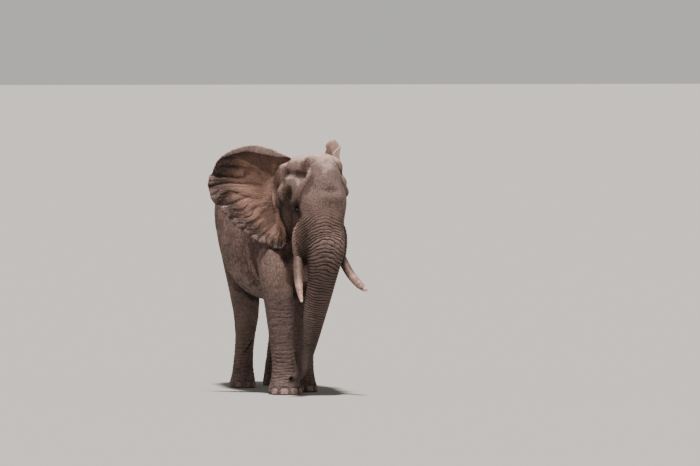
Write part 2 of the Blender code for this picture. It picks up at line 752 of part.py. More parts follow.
def build():
    for thing in list(bpy.data.objects):
        bpy.data.objects.remove(thing, do_unlink=True)
    forms = [torso(), neck(), *head_forms(), *body_masses(), trunk(), *leg_forms()]
    flesh = fuse("torso", forms, VOXEL, 16)
    soften_sides(flesh)
    carve_details(flesh)
    thinned(flesh, FLESH_TRIANGLES)
    whole = grown(flesh, CUT)
    pieces = {
        "ear_right": ear("ear_right", -1, (38, 38, 38), 0.055, -0.6, 0.0),
        "ear_left": ear("ear_left", 1, (38, 87, 73), 0.0, 0.6, 0.065),
        "tail": tail(),
    }
    for piece in pieces.values():
        combine(piece, copy_of(whole, "cutter"), "DIFFERENCE")
    bpy.data.objects.remove(whole, do_unlink=True)
    pieces["tail_tuft"] = combine(tuft(), grown(pieces["tail"], CUT), "DIFFERENCE")
    pieces.update(part_legs(flesh))
    pieces.update(part_front(flesh))
    pieces["torso"] = flesh
    nostrils(pieces["trunk_lower"])
    tusks = {
        "tusk_right": tusk("tusk_right", -1, 0.54, 0.010),
        "tusk_left": tusk("tusk_left", 1, 0.41, 0.024),
    }
    for piece in tusks.values():
        for body in ("head", "trunk_upper", "lower_jaw"):
            combine(pieces[body], grown(piece, CUT), "DIFFERENCE")
    pieces.update(tusks)
    pieces.update(eyes(pieces["head"]))
    pieces.update(nails(pieces))
    finish(pieces)


def finish(pieces):
    skin = material("elephant skin", SKIN_COLOUR, 0.85)
    looks = {
        "tusk": material("ivory", IVORY_COLOUR, 0.4),
        "nail": material("toenail", NAIL_COLOUR, 0.6),
        "eye_": material("wet eye", EYE_COLOUR, 0.1),
        "tail_tuft": material("tail bristle", HAIR_COLOUR, 0.7),
    }
    for name, piece in pieces.items():
        largest_island(piece)
        piece.name = name
        piece.data.name = name
        look = next((look for start, look in looks.items() if name.startswith(start)), skin)
        piece.data.materials.clear()
        piece.data.materials.append(look)
        for face in piece.data.polygons:
            face.material_index = 0
    corners = np.vstack([spots_of(piece.data) for piece in pieces.values()])
    middle = (corners.min(axis=0) + corners.max(axis=0)) / 2
    middle[2] = 0.0
    for piece in pieces.values():
        spots = spots_of(piece.data) - middle
        piece.data.vertices.foreach_set("co", spots.astype(np.float32).ravel())
        piece.data.update()


build()
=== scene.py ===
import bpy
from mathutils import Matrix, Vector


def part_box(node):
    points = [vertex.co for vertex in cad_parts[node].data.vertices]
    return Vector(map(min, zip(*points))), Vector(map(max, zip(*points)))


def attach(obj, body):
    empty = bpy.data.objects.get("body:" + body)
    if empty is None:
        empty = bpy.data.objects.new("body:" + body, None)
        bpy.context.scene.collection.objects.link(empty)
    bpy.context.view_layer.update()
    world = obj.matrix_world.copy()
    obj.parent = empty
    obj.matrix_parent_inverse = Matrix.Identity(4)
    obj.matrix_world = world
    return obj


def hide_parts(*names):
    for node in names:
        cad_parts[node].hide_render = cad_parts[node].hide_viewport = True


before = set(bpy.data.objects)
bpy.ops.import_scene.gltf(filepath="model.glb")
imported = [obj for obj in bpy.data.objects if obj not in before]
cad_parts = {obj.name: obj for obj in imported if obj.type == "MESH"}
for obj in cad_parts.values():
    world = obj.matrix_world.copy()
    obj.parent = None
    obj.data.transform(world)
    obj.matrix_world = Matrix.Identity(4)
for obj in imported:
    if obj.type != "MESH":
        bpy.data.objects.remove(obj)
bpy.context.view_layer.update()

import itertools
import math
from types import SimpleNamespace

import bmesh
import bpy
import numpy as np
from mathutils import Matrix, Vector

scene = bpy.context.scene
bodyMiddle = (-0.22772, -0.17282)  # left and back: the point on the floor under the whole body's middle
eyePoint = (1.50, 0.115, 2.385)  # forward, left and up: midway between the eyes
headTurn = math.radians(6.0)  # towards the animal's left


def at(forward, left, up):
    return np.array((left - bodyMiddle[0], -forward - bodyMiddle[1], up))


def inHead(forward, left, up):  # from the point between the eyes, along the turned head
    turnedForward = forward * math.cos(headTurn) - left * math.sin(headTurn)
    turnedLeft = forward * math.sin(headTurn) + left * math.cos(headTurn)
    return at(eyePoint[0] + turnedForward, eyePoint[1] + turnedLeft, eyePoint[2] + up)


def mirrored(path, side, place=inHead):  # a path on one side of the animal
    return [place(forward, side * left, up) for forward, left, up in path]


def headPlaces(spots):  # inHead the other way, for many places at once: forward, left and up in the head
    forward = -(spots[:, 1] + bodyMiddle[1]) - eyePoint[0]
    left = spots[:, 0] + bodyMiddle[0] - eyePoint[1]
    c, s = math.cos(headTurn), math.sin(headTurn)
    return np.stack((forward * c + left * s, left * c - forward * s, spots[:, 2] - eyePoint[2]), axis=1)


def smoothRows(rows, count):  # a station table filled in along a Catmull-Rom curve
    rows = np.array(rows, float)
    padded = np.vstack([2 * rows[0] - rows[1], rows, 2 * rows[-1] - rows[-2]])
    where = np.linspace(0, len(rows) - 1, count)
    first = np.minimum(where.astype(int), len(rows) - 2)
    t = (where - first)[:, None]
    a, b, c, d = (padded[first + k] for k in range(4))
    return 0.5 * (2 * b + (c - a) * t + (2 * a - 5 * b + 4 * c - d) * t**2 + (3 * b - a - 3 * c + d) * t**3)


def ring(power=1.0, points=40):  # squared up where power is under 1
    turn = np.linspace(0, 2 * math.pi, points, endpoint=False)
    c, s = np.cos(turn), np.sin(turn)
    return np.sign(c) * np.abs(c) ** power, np.sign(s) * np.abs(s) ** power


def fade(value, start, end):  # 0 at start, 1 at end, eased
    share = np.clip((value - start) / (end - start), 0, 1)
    return share * share * (3 - 2 * share)


def added(name, data):
    made = bpy.data.objects.new(name, data)
    scene.collection.objects.link(made)
    return made


def solid(name, points, faces):
    mesh = bpy.data.meshes.new(name)
    mesh.from_pydata([tuple(p) for p in points], [], faces)
    bm = bmesh.new()
    bm.from_mesh(mesh)
    bmesh.ops.recalc_face_normals(bm, faces=bm.faces)
    if bm.calc_volume(signed=True) < 0:
        bmesh.ops.reverse_faces(bm, faces=bm.faces)
    bm.to_mesh(mesh)
    bm.free()
    return added(name, mesh)


def loft(name, rings):  # rings of equal count, closed at both ends
    rings = np.array(rings)
    count, around = rings.shape[:2]
    faces = []
    for low in range(0, (count - 1) * around, around):
        for j in range(around):
            k = (j + 1) % around
            faces.append((low + j, low + k, low + around + k, low + around + j))
    faces += [tuple(range(around)), tuple((count - 1) * around + j for j in range(around))]
    return solid(name, rings.reshape(-1, 3), faces)


# Station: forward, left, top, bottom, half width, height of the widest line as a share, peak of the top.
def barrel(stations, count=36):
    rings = []
    c, s = ring()
    for forward, left, top, bottom, halfWidth, widest, peak in smoothRows(stations, count):
        middle = bottom + (top - bottom) * widest
        width = halfWidth * np.sign(c) * np.abs(c) ** np.where(s > 0, peak, 0.86)
        height = np.where(s > 0, (top - middle) * s, (middle - bottom) * s)
        rings.append([at(forward, left + w, middle + h) for w, h in zip(width, height)])
    return loft("form", rings)


# Station: up, forward, left, half depth, half width.
def column(stations, place=at, power=0.9, count=30):
    rings = []
    c, s = ring(power)
    for up, forward, left, halfDepth, halfWidth in smoothRows(stations, count):
        rings.append([place(forward + halfDepth * a, left + halfWidth * b, up) for a, b in zip(c, s)])
    return loft("form", rings)


# Station: forward, left, up, half width, half depth.
def tube(stations, power=0.95, count=60, points=32):
    rows = smoothRows(stations, count)
    path = np.array([at(*row[:3]) for row in rows])
    along = np.gradient(path, axis=0)
    along /= np.linalg.norm(along, axis=1)[:, None]
    side = np.array((1.0, 0.0, 0.0))
    rings = []
    c, s = ring(power, points)
    for centre, ahead, row in zip(path, along, rows):
        side = side - ahead * (side @ ahead)
        side /= np.linalg.norm(side)
        across = np.cross(ahead, side)
        rings.append(centre + np.outer(c * row[3], side) + np.outer(s * row[4], across))
    return loft("form", rings)


def ball(centre, radii, lean=(0.0, 0.0, 0.0), segments=24):  # lean in degrees about X, Y and Z
    bm = bmesh.new()
    bmesh.ops.create_uvsphere(bm, u_segments=segments, v_segments=segments // 2, radius=1.0)
    turn = Matrix.Identity(4)
    for axis, degrees in zip("XYZ", lean):
        turn = Matrix.Rotation(math.radians(degrees), 4, axis) @ turn
    bm.transform(Matrix.Translation(centre) @ turn @ Matrix.Diagonal((*radii, 1)))
    mesh = bpy.data.meshes.new("form")
    bm.to_mesh(mesh)
    bm.free()
    return added("form", mesh)


def settled(thing):  # modifiers made into plain mesh
    bpy.context.view_layer.update()
    seen = thing.evaluated_get(bpy.context.evaluated_depsgraph_get())
    mesh = bpy.data.meshes.new_from_object(seen)
    old = thing.data
    thing.modifiers.clear()
    thing.data = mesh
    bpy.data.meshes.remove(old)
    return thing


def pointsOf(things, what):
    values = np.empty(len(things) * 3, np.float32)
    things.foreach_get(what, values)
    return values.reshape(-1, 3).astype(float)


def spotsOf(mesh):
    return pointsOf(mesh.vertices, "co")


def facingsOf(mesh):
    return pointsOf(mesh.vertex_normals, "vector")


def setSpots(mesh, spots):
    mesh.vertices.foreach_set("co", spots.astype(np.float32).ravel())
    mesh.update()


def mark(mesh, name, values, kind="FLOAT"):  # a value at each point, for a finish or a node tree to read
    kept = mesh.attributes.new(name, kind, "POINT")
    kept.data.foreach_set("value" if kind == "FLOAT" else "vector", np.array(values, np.float32).ravel())


def dress(piece, slot, *nodes, finish=None):  # a finished piece of the one body
    if finish:
        piece.data.materials.clear()
        piece.data.materials.append(finish)
    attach(piece, "root")
    if nodes:
        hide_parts(*nodes)


def fuse(name, forms, grain, rounds):  # all forms as one skin, its creases rounded
    joined = bmesh.new()
    for form in forms:
        joined.from_mesh(form.data)
        bpy.data.objects.remove(form, do_unlink=True)
    mesh = bpy.data.meshes.new(name)
    joined.to_mesh(mesh)
    joined.free()
    body = added(name, mesh)
    remesh = body.modifiers.new("fuse", "REMESH")
    remesh.mode = "VOXEL"
    remesh.voxel_size = grain
    smooth = body.modifiers.new("round", "SMOOTH")
    smooth.factor = 0.5
    smooth.iterations = rounds
    return settled(body)


def nearness(spots, path, width):  # one along the path, gone about twice the width away
    best = np.full(len(spots), 1e9)
    path = np.array(path)
    for a, b in zip(path[:-1], path[1:]):
        line = b - a
        share = np.clip((spots - a) @ line / max(line @ line, 1e-9), 0, 1)
        best = np.minimum(best, ((spots - a - share[:, None] * line) ** 2).sum(1))
    return np.exp(-best / width**2)


def alongPath(spots, path):  # how far along a path each spot is, how far from it, and its foot on it
    best = np.full(len(spots), 1e9)
    along = np.zeros(len(spots))
    foot = np.zeros_like(spots)
    start = 0.0
    for a, b in zip(path[:-1], path[1:]):
        line = b - a
        length = np.linalg.norm(line)
        share = np.clip((spots - a) @ line / length**2, 0, 1)
        place = a + share[:, None] * line
        gap = ((spots - place) ** 2).sum(1)
        closer = gap < best
        best[closer] = gap[closer]
        along[closer] = start + share[closer] * length
        foot[closer] = place[closer]
        start += length
    return along, np.sqrt(best), foot


def softNoise(spots, size, seed):  # smooth random heights from -1 to 1, a bump about every size
    grid = spots / np.array(size)
    cell = np.floor(grid).astype(np.int64)
    part = grid - cell
    part = part * part * (3 - 2 * part)
    total = np.zeros(len(spots))
    for corner in itertools.product((0, 1), repeat=3):
        weight = np.prod(np.where(corner, part, 1 - part), axis=1)
        code = ((cell + corner) * (73856093, 19349663, 83492791)).sum(axis=1) + seed * 374761393
        code = (code ^ (code >> 13)) * 1274126177 & 0xFFFFFFFF
        code = (code ^ (code >> 15)) * 2246822519 & 0xFFFFFFFF
        total += weight * ((code ^ (code >> 16)) / 2**31 - 1)
    return total


def billow(spots, size, seed, sharp=0.6):  # rounded swells with thin creases between them
    return np.clip(np.abs(softNoise(spots, size, seed)) * 2.2, 0, 1) ** sharp


# The flesh: the same stations as the solids, fused finer.
skinMaking = {
    "coarseGrain": 0.013,  # of the smooth flesh
    "fineGrain": 0.008,  # of the whole skin with ears and tail
    "triangles": 176000,
    "roundGrain": 0.022,  # the grain that rounds of smoothing are counted for
    "rounds": 16,
    "sideRounds": 75,
}


def roundsFor(count):  # as many as round the coarse skin as far as these would at their own grain
    return round(count * skinMaking["roundGrain"] ** 2 / skinMaking["coarseGrain"] ** 2)


def torsoForm():
    return barrel(
        [
            (-1.50, 0.00, 2.34, 2.02, 0.06, 0.50, 1.0),
            (-1.45, 0.00, 2.50, 1.82, 0.22, 0.52, 1.0),
            (-1.28, 0.00, 2.66, 1.55, 0.40, 0.55, 1.0),
            (-1.03, 0.00, 2.79, 1.36, 0.52, 0.56, 1.1),
            (-0.73, 0.00, 2.85, 1.25, 0.60, 0.54, 1.2),
            (-0.35, 0.00, 2.80, 1.17, 0.655, 0.49, 1.2),
            (0.05, 0.00, 2.76, 1.14, 0.67, 0.46, 1.2),
            (0.42, 0.00, 2.81, 1.18, 0.64, 0.45, 1.2),
            (0.74, 0.00, 2.90, 1.27, 0.56, 0.46, 1.1),
            (0.98, 0.02, 2.88, 1.42, 0.46, 0.48, 1.0),
            (1.14, 0.04, 2.76, 1.62, 0.30, 0.50, 1.0),
            (1.20, 0.05, 2.50, 1.95, 0.10, 0.50, 1.0),
        ]
    )


def neckForm():
    return barrel(
        [
            (0.62, 0.00, 2.86, 1.75, 0.36, 0.5, 1.0),
            (0.85, 0.01, 2.93, 1.72, 0.39, 0.5, 1.0),
            (1.05, 0.04, 2.93, 1.80, 0.38, 0.5, 1.0),
            (1.25, 0.08, 2.94, 1.90, 0.37, 0.5, 1.0),
            (1.42, 0.10, 2.90, 2.00, 0.30, 0.5, 1.0),
        ],
        16,
    )


def headForms():
    face = column(
        [
            (0.650, -0.14, 0, 0.05, 0.05),
            (0.630, -0.12, 0, 0.16, 0.14),
            (0.58, -0.10, 0, 0.24, 0.185),
            (0.48, -0.07, 0, 0.30, 0.205),
            (0.38, -0.05, 0, 0.335, 0.225),
            (0.26, -0.045, 0, 0.365, 0.255),
            (0.15, -0.04, 0, 0.385, 0.295),
            (0.05, -0.04, 0, 0.390, 0.315),
            (-0.08, -0.045, -0.005, 0.385, 0.308),
            (-0.20, -0.05, -0.015, 0.380, 0.300),
            (-0.36, -0.055, -0.015, 0.370, 0.295),
            (-0.50, -0.06, -0.01, 0.350, 0.280),
            (-0.60, -0.06, -0.01, 0.315, 0.260),
            (-0.655, -0.05, 0, 0.27, 0.22),
            (-0.675, -0.04, 0, 0.20, 0.16),
        ],
        inHead,
        0.88,
    )
    balls = [
        ((-0.28, 0.0, 0.23), (0.34, 0.43, 0.410)),
        ((-0.30, 0.0, -0.18), (0.25, 0.385, 0.32)),
        ((-0.16, 0.0, -0.50), (0.15, 0.15, 0.19)),
    ]
    pairs = [
        ((-0.41, 0.31, 0.36), (0.15, 0.190, 0.180)),
        ((-0.20, 0.16, 0.44), (0.22, 0.18, 0.180)),
        ((-0.25, 0.352, 0.160), (0.17, 0.066, 0.150)),
        ((-0.12, 0.275, 0.260), (0.17, 0.100, 0.120)),
        ((-0.45, 0.39, 0.09), (0.11, 0.080, 0.250)),
        ((-0.04, 0.245, -0.46), (0.14, 0.072, 0.34)),
    ]
    ridge = [
        (0.10, 0.155, 0.43, 0.040),
        (0.10, 0.205, 0.33, 0.046),
        (0.055, 0.275, 0.235, 0.049),
        (-0.015, 0.328, 0.155, 0.050),
        (-0.07, 0.352, 0.08, 0.048),
        (-0.14, 0.362, 0.015, 0.042),
    ]
    forms = [face]
    for side in (1, -1):
        balls += [((forward, side * left, up), radii) for (forward, left, up), radii in pairs]
        places = mirrored([row[:3] for row in ridge], side)
        forms.append(tube([(*stationOf(p), row[3], row[3]) for p, row in zip(places, ridge)], 1.0, 16, 12))
    lean = math.degrees(headTurn)
    return forms + [ball(inHead(*place), radii, (0, 0, lean)) for place, radii in balls]


def stationOf(place):  # back from the frame to forward, left and up
    return -place[1] - bodyMiddle[1], place[0] + bodyMiddle[0], place[2]


def bodyMasses():  # shoulder blades, hips and breast
    balls = [((0.98, 0.0, 1.66), (0.26, 0.24, 0.26), 0)]
    for side in (1, -1):
        balls += [
            ((0.74, side * 0.36, 2.16), (0.19, 0.34, 0.56), 8),
            ((-0.84, side * 0.33, 2.22), (0.25, 0.44, 0.50), -10),
            ((-1.22, side * 0.18, 2.10), (0.22, 0.26, 0.46), 0),
        ]
    return [ball(at(*place), radii, (lean, 0, 0)) for place, radii, lean in balls]


trunkStations = [
    (1.58, 0.13, 2.02, 0.26, 0.24),
    (1.62, 0.13, 1.82, 0.245, 0.235),
    (1.63, 0.115, 1.64, 0.205, 0.20),
    (1.60, 0.095, 1.45, 0.178, 0.172),
    (1.55, 0.068, 1.24, 0.160, 0.155),
    (1.50, 0.035, 1.03, 0.144, 0.140),
    (1.46, -0.012, 0.75, 0.118, 0.115),
    (1.44, -0.062, 0.50, 0.090, 0.088),
    (1.46, -0.120, 0.33, 0.073, 0.071),
    (1.49, -0.195, 0.245, 0.063, 0.060),
    (1.51, -0.280, 0.218, 0.050, 0.047),
    (1.512, -0.305, 0.212, 0.044, 0.041),
]


# Rows: up, then forward, left, half depth and half width of the right leg, and of the left leg.
foreLegs = [
    (2.15, 0.80, -0.30, 0.26, 0.13, 0.74, 0.30, 0.26, 0.13),
    (1.85, 0.84, -0.33, 0.27, 0.175, 0.73, 0.33, 0.27, 0.175),
    (1.56, 0.92, -0.315, 0.245, 0.200, 0.70, 0.30, 0.245, 0.200),
    (1.28, 0.95, -0.286, 0.205, 0.185, 0.65, 0.238, 0.205, 0.202),
    (1.00, 0.965, -0.260, 0.175, 0.167, 0.60, 0.192, 0.178, 0.182),
    (0.72, 0.975, -0.250, 0.155, 0.143, 0.535, 0.184, 0.158, 0.154),
    (0.54, 0.975, -0.232, 0.145, 0.134, 0.49, 0.180, 0.147, 0.136),
    (0.35, 0.97, -0.205, 0.150, 0.146, 0.45, 0.170, 0.150, 0.146),
    (0.17, 0.975, -0.198, 0.178, 0.172, 0.44, 0.163, 0.178, 0.172),
    (0.06, 0.985, -0.197, 0.214, 0.205, 0.445, 0.160, 0.214, 0.205),
    (-0.05, 0.985, -0.197, 0.220, 0.211, 0.445, 0.160, 0.220, 0.211),
]
hindLegs = [
    (2.25, -0.90, -0.26, 0.36, 0.20, -0.94, 0.26, 0.36, 0.20),
    (1.90, -0.82, -0.295, 0.35, 0.225, -0.92, 0.295, 0.35, 0.225),
    (1.60, -0.71, -0.295, 0.31, 0.21, -0.86, 0.295, 0.31, 0.21),
    (1.35, -0.62, -0.285, 0.255, 0.19, -0.83, 0.295, 0.255, 0.19),
    (1.12, -0.57, -0.27, 0.205, 0.17, -0.84, 0.295, 0.205, 0.17),
    (0.90, -0.60, -0.25, 0.170, 0.145, -0.90, 0.295, 0.170, 0.145),
    (0.66, -0.67, -0.242, 0.140, 0.118, -0.99, 0.297, 0.140, 0.118),
    (0.46, -0.735, -0.24, 0.130, 0.113, -1.08, 0.295, 0.130, 0.113),
    (0.30, -0.765, -0.242, 0.135, 0.118, -1.12, 0.29, 0.135, 0.118),
    (0.17, -0.76, -0.246, 0.160, 0.130, -1.12, 0.287, 0.160, 0.130),
    (0.06, -0.745, -0.255, 0.200, 0.150, -1.10, 0.285, 0.200, 0.150),
    (-0.05, -0.745, -0.255, 0.207, 0.156, -1.10, 0.285, 0.207, 0.156),
]


def legForms():
    forms = []
    for rows in (foreLegs, hindLegs):
        for first in (1, 5):
            forms.append(column([(row[0], *row[first : first + 4]) for row in rows], power=0.95))
    return forms


# Each rib from an ear's top to its lobe: root out and up, rim out and up, and the width of the rolled
# edge. Out runs from the head to the rim, from the ear's hinge.
earRibs = [
    (-0.20, 0.03, -0.22, 0.150, 0.000),
    (-0.12, 0.04, -0.08, 0.215, 0.040),
    (-0.05, 0.03, 0.09, 0.285, 0.105),
    (-0.02, 0.00, 0.28, 0.315, 0.130),
    (-0.015, -0.05, 0.51, 0.262, 0.070),
    (-0.01, -0.10, 0.705, 0.140, 0.020),
    (-0.01, -0.16, 0.83, -0.05, 0.000),
    (-0.01, -0.22, 0.875, -0.19, 0.000),
    (-0.015, -0.29, 0.80, -0.40, 0.000),
    (-0.03, -0.36, 0.655, -0.55, 0.000),
    (-0.04, -0.43, 0.465, -0.725, 0.000),
    (-0.06, -0.51, 0.285, -0.865, 0.000),
    (-0.08, -0.59, 0.09, -0.93, 0.000),
    (-0.11, -0.66, -0.035, -0.985, 0.000),
    (-0.13, -0.72, -0.125, -0.955, 0.000),
    (-0.14, -0.76, -0.155, -0.84, 0.000),
]
earHinge = (-0.43, 0.45, 0.42)
ears = {
    "right": {"side": -1, "sweeps": (38, 38, 38), "cup": 0.055, "rollStart": -0.6, "lift": 0.0},
    "left": {"side": 1, "sweeps": (38, 87, 73), "cup": 0.0, "rollStart": 0.6, "lift": 0.065},
}
earMaking = {
    "ribs": 161,
    "steps": 61,
    "thick": 0.019,
    "roll": 0.024,  # radius of the rolled edge's bend
    "curl": 0.93,  # of half a turn
    "ripple": 0.011,  # of the broad waves that the solid has too
    "waves": 2.1,  # radians of them from rib to rib
    "fold": 0.015,  # depth of the radial folds near the rim
    "folds": 27,
    "fineFold": 0.006,
    "scallop": 0.012,  # how far the rim wanders in and out
}


def earSheet(side, sweeps, cup, rollStart, lift):  # an ear's middle layer, rib by rib
    make = earMaking
    sweeps = [math.radians(angle) for angle in sweeps]
    rooted = np.array((-math.sin(sweeps[0]), side * math.cos(sweeps[0])))  # the way out at the ear's root
    hinge = np.array(earHinge) * (1, side, 1) + (0, 0, lift)
    shares = np.linspace(0, 1, make["steps"])
    rows = smoothRows(earRibs, make["ribs"])
    numbers = np.linspace(0, 20, make["ribs"])
    flat = np.stack(np.meshgrid(numbers, shares * 3.0, [side * 9.0], indexing="ij"), axis=-1)
    wander = softNoise(flat.reshape(-1, 3), (1.3, 1.0, 1.0), 21).reshape(len(rows), -1)
    finer = softNoise(flat.reshape(-1, 3), (0.42, 1.6, 1.0), 22).reshape(len(rows), -1)
    edge = softNoise(np.stack((numbers, numbers * 0, numbers * 0 + side), axis=1), (0.55, 1.0, 1.0), 23)
    points = []
    for number, row, loose, fine, nick in zip(numbers, rows, wander, finer, edge):
        rootOut, rootUp, rimOut, rimUp, flap = row
        rise = min(max((rimUp + 0.45) / 0.75, 0.0), 1.0)
        sweep = sweeps[2] + (sweeps[1] - sweeps[2]) * rise
        out = np.array((-math.sin(sweep), side * math.cos(sweep)))
        face = np.array((math.cos(sweep), side * math.sin(sweep), 0))
        root = hinge + np.array((*(rooted * rootOut), rootUp))
        rim = hinge + np.array((*(rooted * min(rimOut, 0.0) + out * max(rimOut, 0.0)), rimUp))
        length = np.linalg.norm(rim - root)
        along = (rim - root) / length
        flap = max(flap, 0.0) * min(max((rimOut - rollStart) / 0.25, 0.0), 1.0)
        bend = make["roll"] * min(1.0, flap / 0.05)
        curl = math.pi * make["curl"]
        straight = length - bend
        size = min(1.0, length / 0.6)
        total = straight + curl * bend + flap + make["scallop"] * size * (nick - 0.3)
        hanging = float(fade(number, 4.0, 7.5))
        rib = []
        for share, offset, small in zip(shares, loose, fine):
            way = share * total
            reach = min(way / length, 1.0)
            front = make["ripple"] * size * reach**2 * math.sin(number * make["waves"])
            front -= cup * size * math.sin(math.pi * reach**0.9)
            swell = abs(math.sin(math.pi * (number * make["folds"] / 40 + 0.55 * offset)))
            front += make["fold"] * size * hanging * reach**1.5 * (swell**0.7 - 0.5) * 2
            front += make["fineFold"] * size * (0.3 + 0.7 * hanging) * reach**1.2 * small
            if way > straight and bend > 1e-4:
                turn = min((way - straight) / bend, curl)
                past = max(0.0, way - straight - curl * bend)
                front += bend * (1 - math.cos(turn)) + past * math.sin(turn)
                way = straight + bend * math.sin(turn) + past * math.cos(turn)
            rib.append(inHead(*(root + along * way + face * front)))
        points.append(rib)
    return np.array(points)


def earForm(sheet):
    ribs, steps = sheet.shape[:2]
    across = np.cross(np.gradient(sheet, axis=0), np.gradient(sheet, axis=1))
    across /= np.linalg.norm(across, axis=2)[:, :, None]
    rim = np.minimum(1.0, np.linspace(1, 0, steps) * 5 + 0.55)[None, :, None]
    half = across * earMaking["thick"] / 2 * rim
    total = ribs * steps
    faces = []
    for i in range(ribs - 1):
        for j in range(steps - 1):
            a, b, c, d = (i * steps + j, (i + 1) * steps + j, (i + 1) * steps + j + 1, i * steps + j + 1)
            faces += [(a, b, c, d), (total + d, total + c, total + b, total + a)]
    edge = [i * steps for i in range(ribs)] + [(ribs - 1) * steps + j for j in range(1, steps)]
    edge += [i * steps + steps - 1 for i in range(ribs - 2, -1, -1)] + list(range(steps - 2, 0, -1))
    for k, here in enumerate(edge):
        there = edge[(k + 1) % len(edge)]
        faces.append((here, there, total + there, total + here))
    return solid("ear", np.vstack([(sheet + half).reshape(-1, 3), (sheet - half).reshape(-1, 3)]), faces)


tailStations = [
    (-1.42, 0.00, 2.42, 0.085, 0.075),
    (-1.53, 0.00, 2.30, 0.070, 0.060),
    (-1.575, 0.00, 2.10, 0.052, 0.046),
    (-1.585, 0.00, 1.85, 0.040, 0.036),
    (-1.58, 0.01, 1.60, 0.032, 0.028),
    (-1.57, 0.01, 1.35, 0.026, 0.022),
    (-1.565, 0.01, 1.16, 0.022, 0.018),
]


def smoothed(mesh, rounds, weights=1.0):  # each point moved to the middle of those round it, again and again
    ends = np.empty(len(mesh.edges) * 2, np.int32)
    mesh.edges.foreach_get("vertices", ends)
    a, b = ends.reshape(-1, 2).T
    spots = spotsOf(mesh)
    shared = np.bincount(np.concatenate((a, b)), minlength=len(spots))
    for _ in range(rounds):
        for axis in range(3):
            total = np.bincount(a, spots[b, axis], len(spots)) + np.bincount(b, spots[a, axis], len(spots))
            spots[:, axis] += weights * (total / shared - spots[:, axis])
    return spots


def softenSides(flesh):  # the bumps at each side of the head run into each other
    spots = spotsOf(flesh.data)
    weights = np.zeros(len(spots))
    for side in (1, -1):
        for share, width, *path in (
            (1.0, 0.14, (-0.30, 0.36, 0.30), (-0.12, 0.33, 0.14)),  # the temple
            (0.8, 0.08, (0.06, 0.26, -0.22), (0.05, 0.27, -0.52)),  # over the tusk's root
        ):
            weights += share * nearness(spots, mirrored(path, side), width)
    rounds = roundsFor(skinMaking["sideRounds"])
    setSpots(flesh.data, smoothed(flesh.data, rounds, np.minimum(weights, 1.0)))


# Hollows and ridges that the solids have too: height, width, and a path from the eyes or from the floor.
sideStrokes = [
    (-0.022, 0.045, inHead, (-0.20, 0.36, 0.38), (0.00, 0.24, 0.35)),
    (-0.014, 0.040, inHead, (-0.10, 0.36, 0.27), (-0.13, 0.38, 0.10)),
    (-0.030, 0.050, inHead, (-0.02, 0.34, -0.02), (-0.04, 0.34, -0.10)),
    (-0.030, 0.055, inHead, (0.03, 0.34, -0.13), (-0.10, 0.34, -0.26)),
    (-0.035, 0.200, at, (-0.42, 0.60, 2.42), (-0.48, 0.62, 2.1)),
    (-0.030, 0.120, at, (1.02, 0.42, 2.5), (1.06, 0.42, 2.0)),
    (-0.040, 0.050, at, (0.68, 0.50, 1.85), (0.71, 0.43, 1.25)),
    (0.020, 0.080, at, (0.95, 0.44, 2.55), (0.80, 0.52, 1.95)),
]
middleStrokes = [
    (-0.010, 0.050, inHead, (0.36, -0.18, 0.20), (0.36, 0.18, 0.20)),
    (0.014, 0.060, inHead, (0.36, -0.16, 0.10), (0.36, 0.16, 0.10)),
    (-0.02, 0.10, inHead, (-0.1, 0, 0.66), (-0.45, 0, 0.6)),
    (0.018, 0.060, at, (0.7, 0, 2.95), (0.0, 0, 2.78), (-0.75, 0, 2.88), (-1.3, 0, 2.66)),
]


def broadCarving(spots, facings):
    for side, strokes in ((1, sideStrokes), (-1, sideStrokes), (1, middleStrokes)):
        for height, width, place, *path in strokes:
            near = nearness(spots, mirrored(path, side, place), width)
            spots = spots + facings * (height * near)[:, None]
    return spots


# How the skin folds: depths and spacings of its creases by region, the trunk's by the way along it.
reliefMaking = {
    "ringSpacing": [(0.0, 0.034), (0.35, 0.045), (0.75, 0.042), (1.1, 0.036), (1.6, 0.027), (2.4, 0.018)],
    "ringDepth": [
        (0.0, 0.002),
        (0.16, 0.006),
        (0.4, 0.009),
        (0.9, 0.010),
        (1.25, 0.008),
        (1.7, 0.005),
        (2.4, 0.003),
    ],
    "ringArch": [(0.0, 0.75), (0.3, 0.70), (0.6, 0.45), (0.9, 0.2), (1.2, 0.05), (2.4, 0.0)],
    "ringTurn": -13.0,  # the arches' middle line lies a little to the animal's right
    "ringBend": 1.1,  # how soon an arch turns down beside that line
    "ringLift": 1.7,  # how high it stands there
    "ringWander": 0.42,  # of a ring's spacing
    "ringJitter": 0.2,
    "ankleSpacing": 0.043,
    "ankleJitter": 0.25,
    "ankleDepth": 0.006,
    "legDepth": 0.0050,
    "flankDepth": 0.0038,
    "footDepth": 0.008,
    "neckDepth": 0.009,
    "netDepth": 0.0036,
    "lumps": 0.007,
    "browDepth": 0.0035,
    "headDepth": 0.0022,
    "templeDepth": 0.004,
    "earDepth": 0.0012,
    "earFoldDepth": 0.007,
    "earFolds": 1.45,  # from rib to rib
    "earWander": 0.7,  # of a fold's spacing
    "earJitter": 0.25,
    "nailBed": 0.010,
    "nailBedSize": (0.050, 0.046),  # across and up
    "eyeShade": 0.066,  # radius of the painted shade round an eye, in its socket
    "noseShade": 0.038,  # of the painted shade in the nostrils
    "tipShade": 0.075,  # of the darker skin at the trunk's end
}
legCreases = [  # depth, width and path of long single folds
    (0.016, 0.022, [(-0.58, -0.18, 0.60), (-0.60, -0.26, 0.45), (-0.63, -0.36, 0.27)]),
    (0.012, 0.020, [(-0.50, -0.14, 0.80), (-0.53, -0.20, 0.66), (-0.58, -0.32, 0.48)]),
]


def alongTable(values, table):
    return np.interp(values, [row[0] for row in table], [row[1] for row in table])


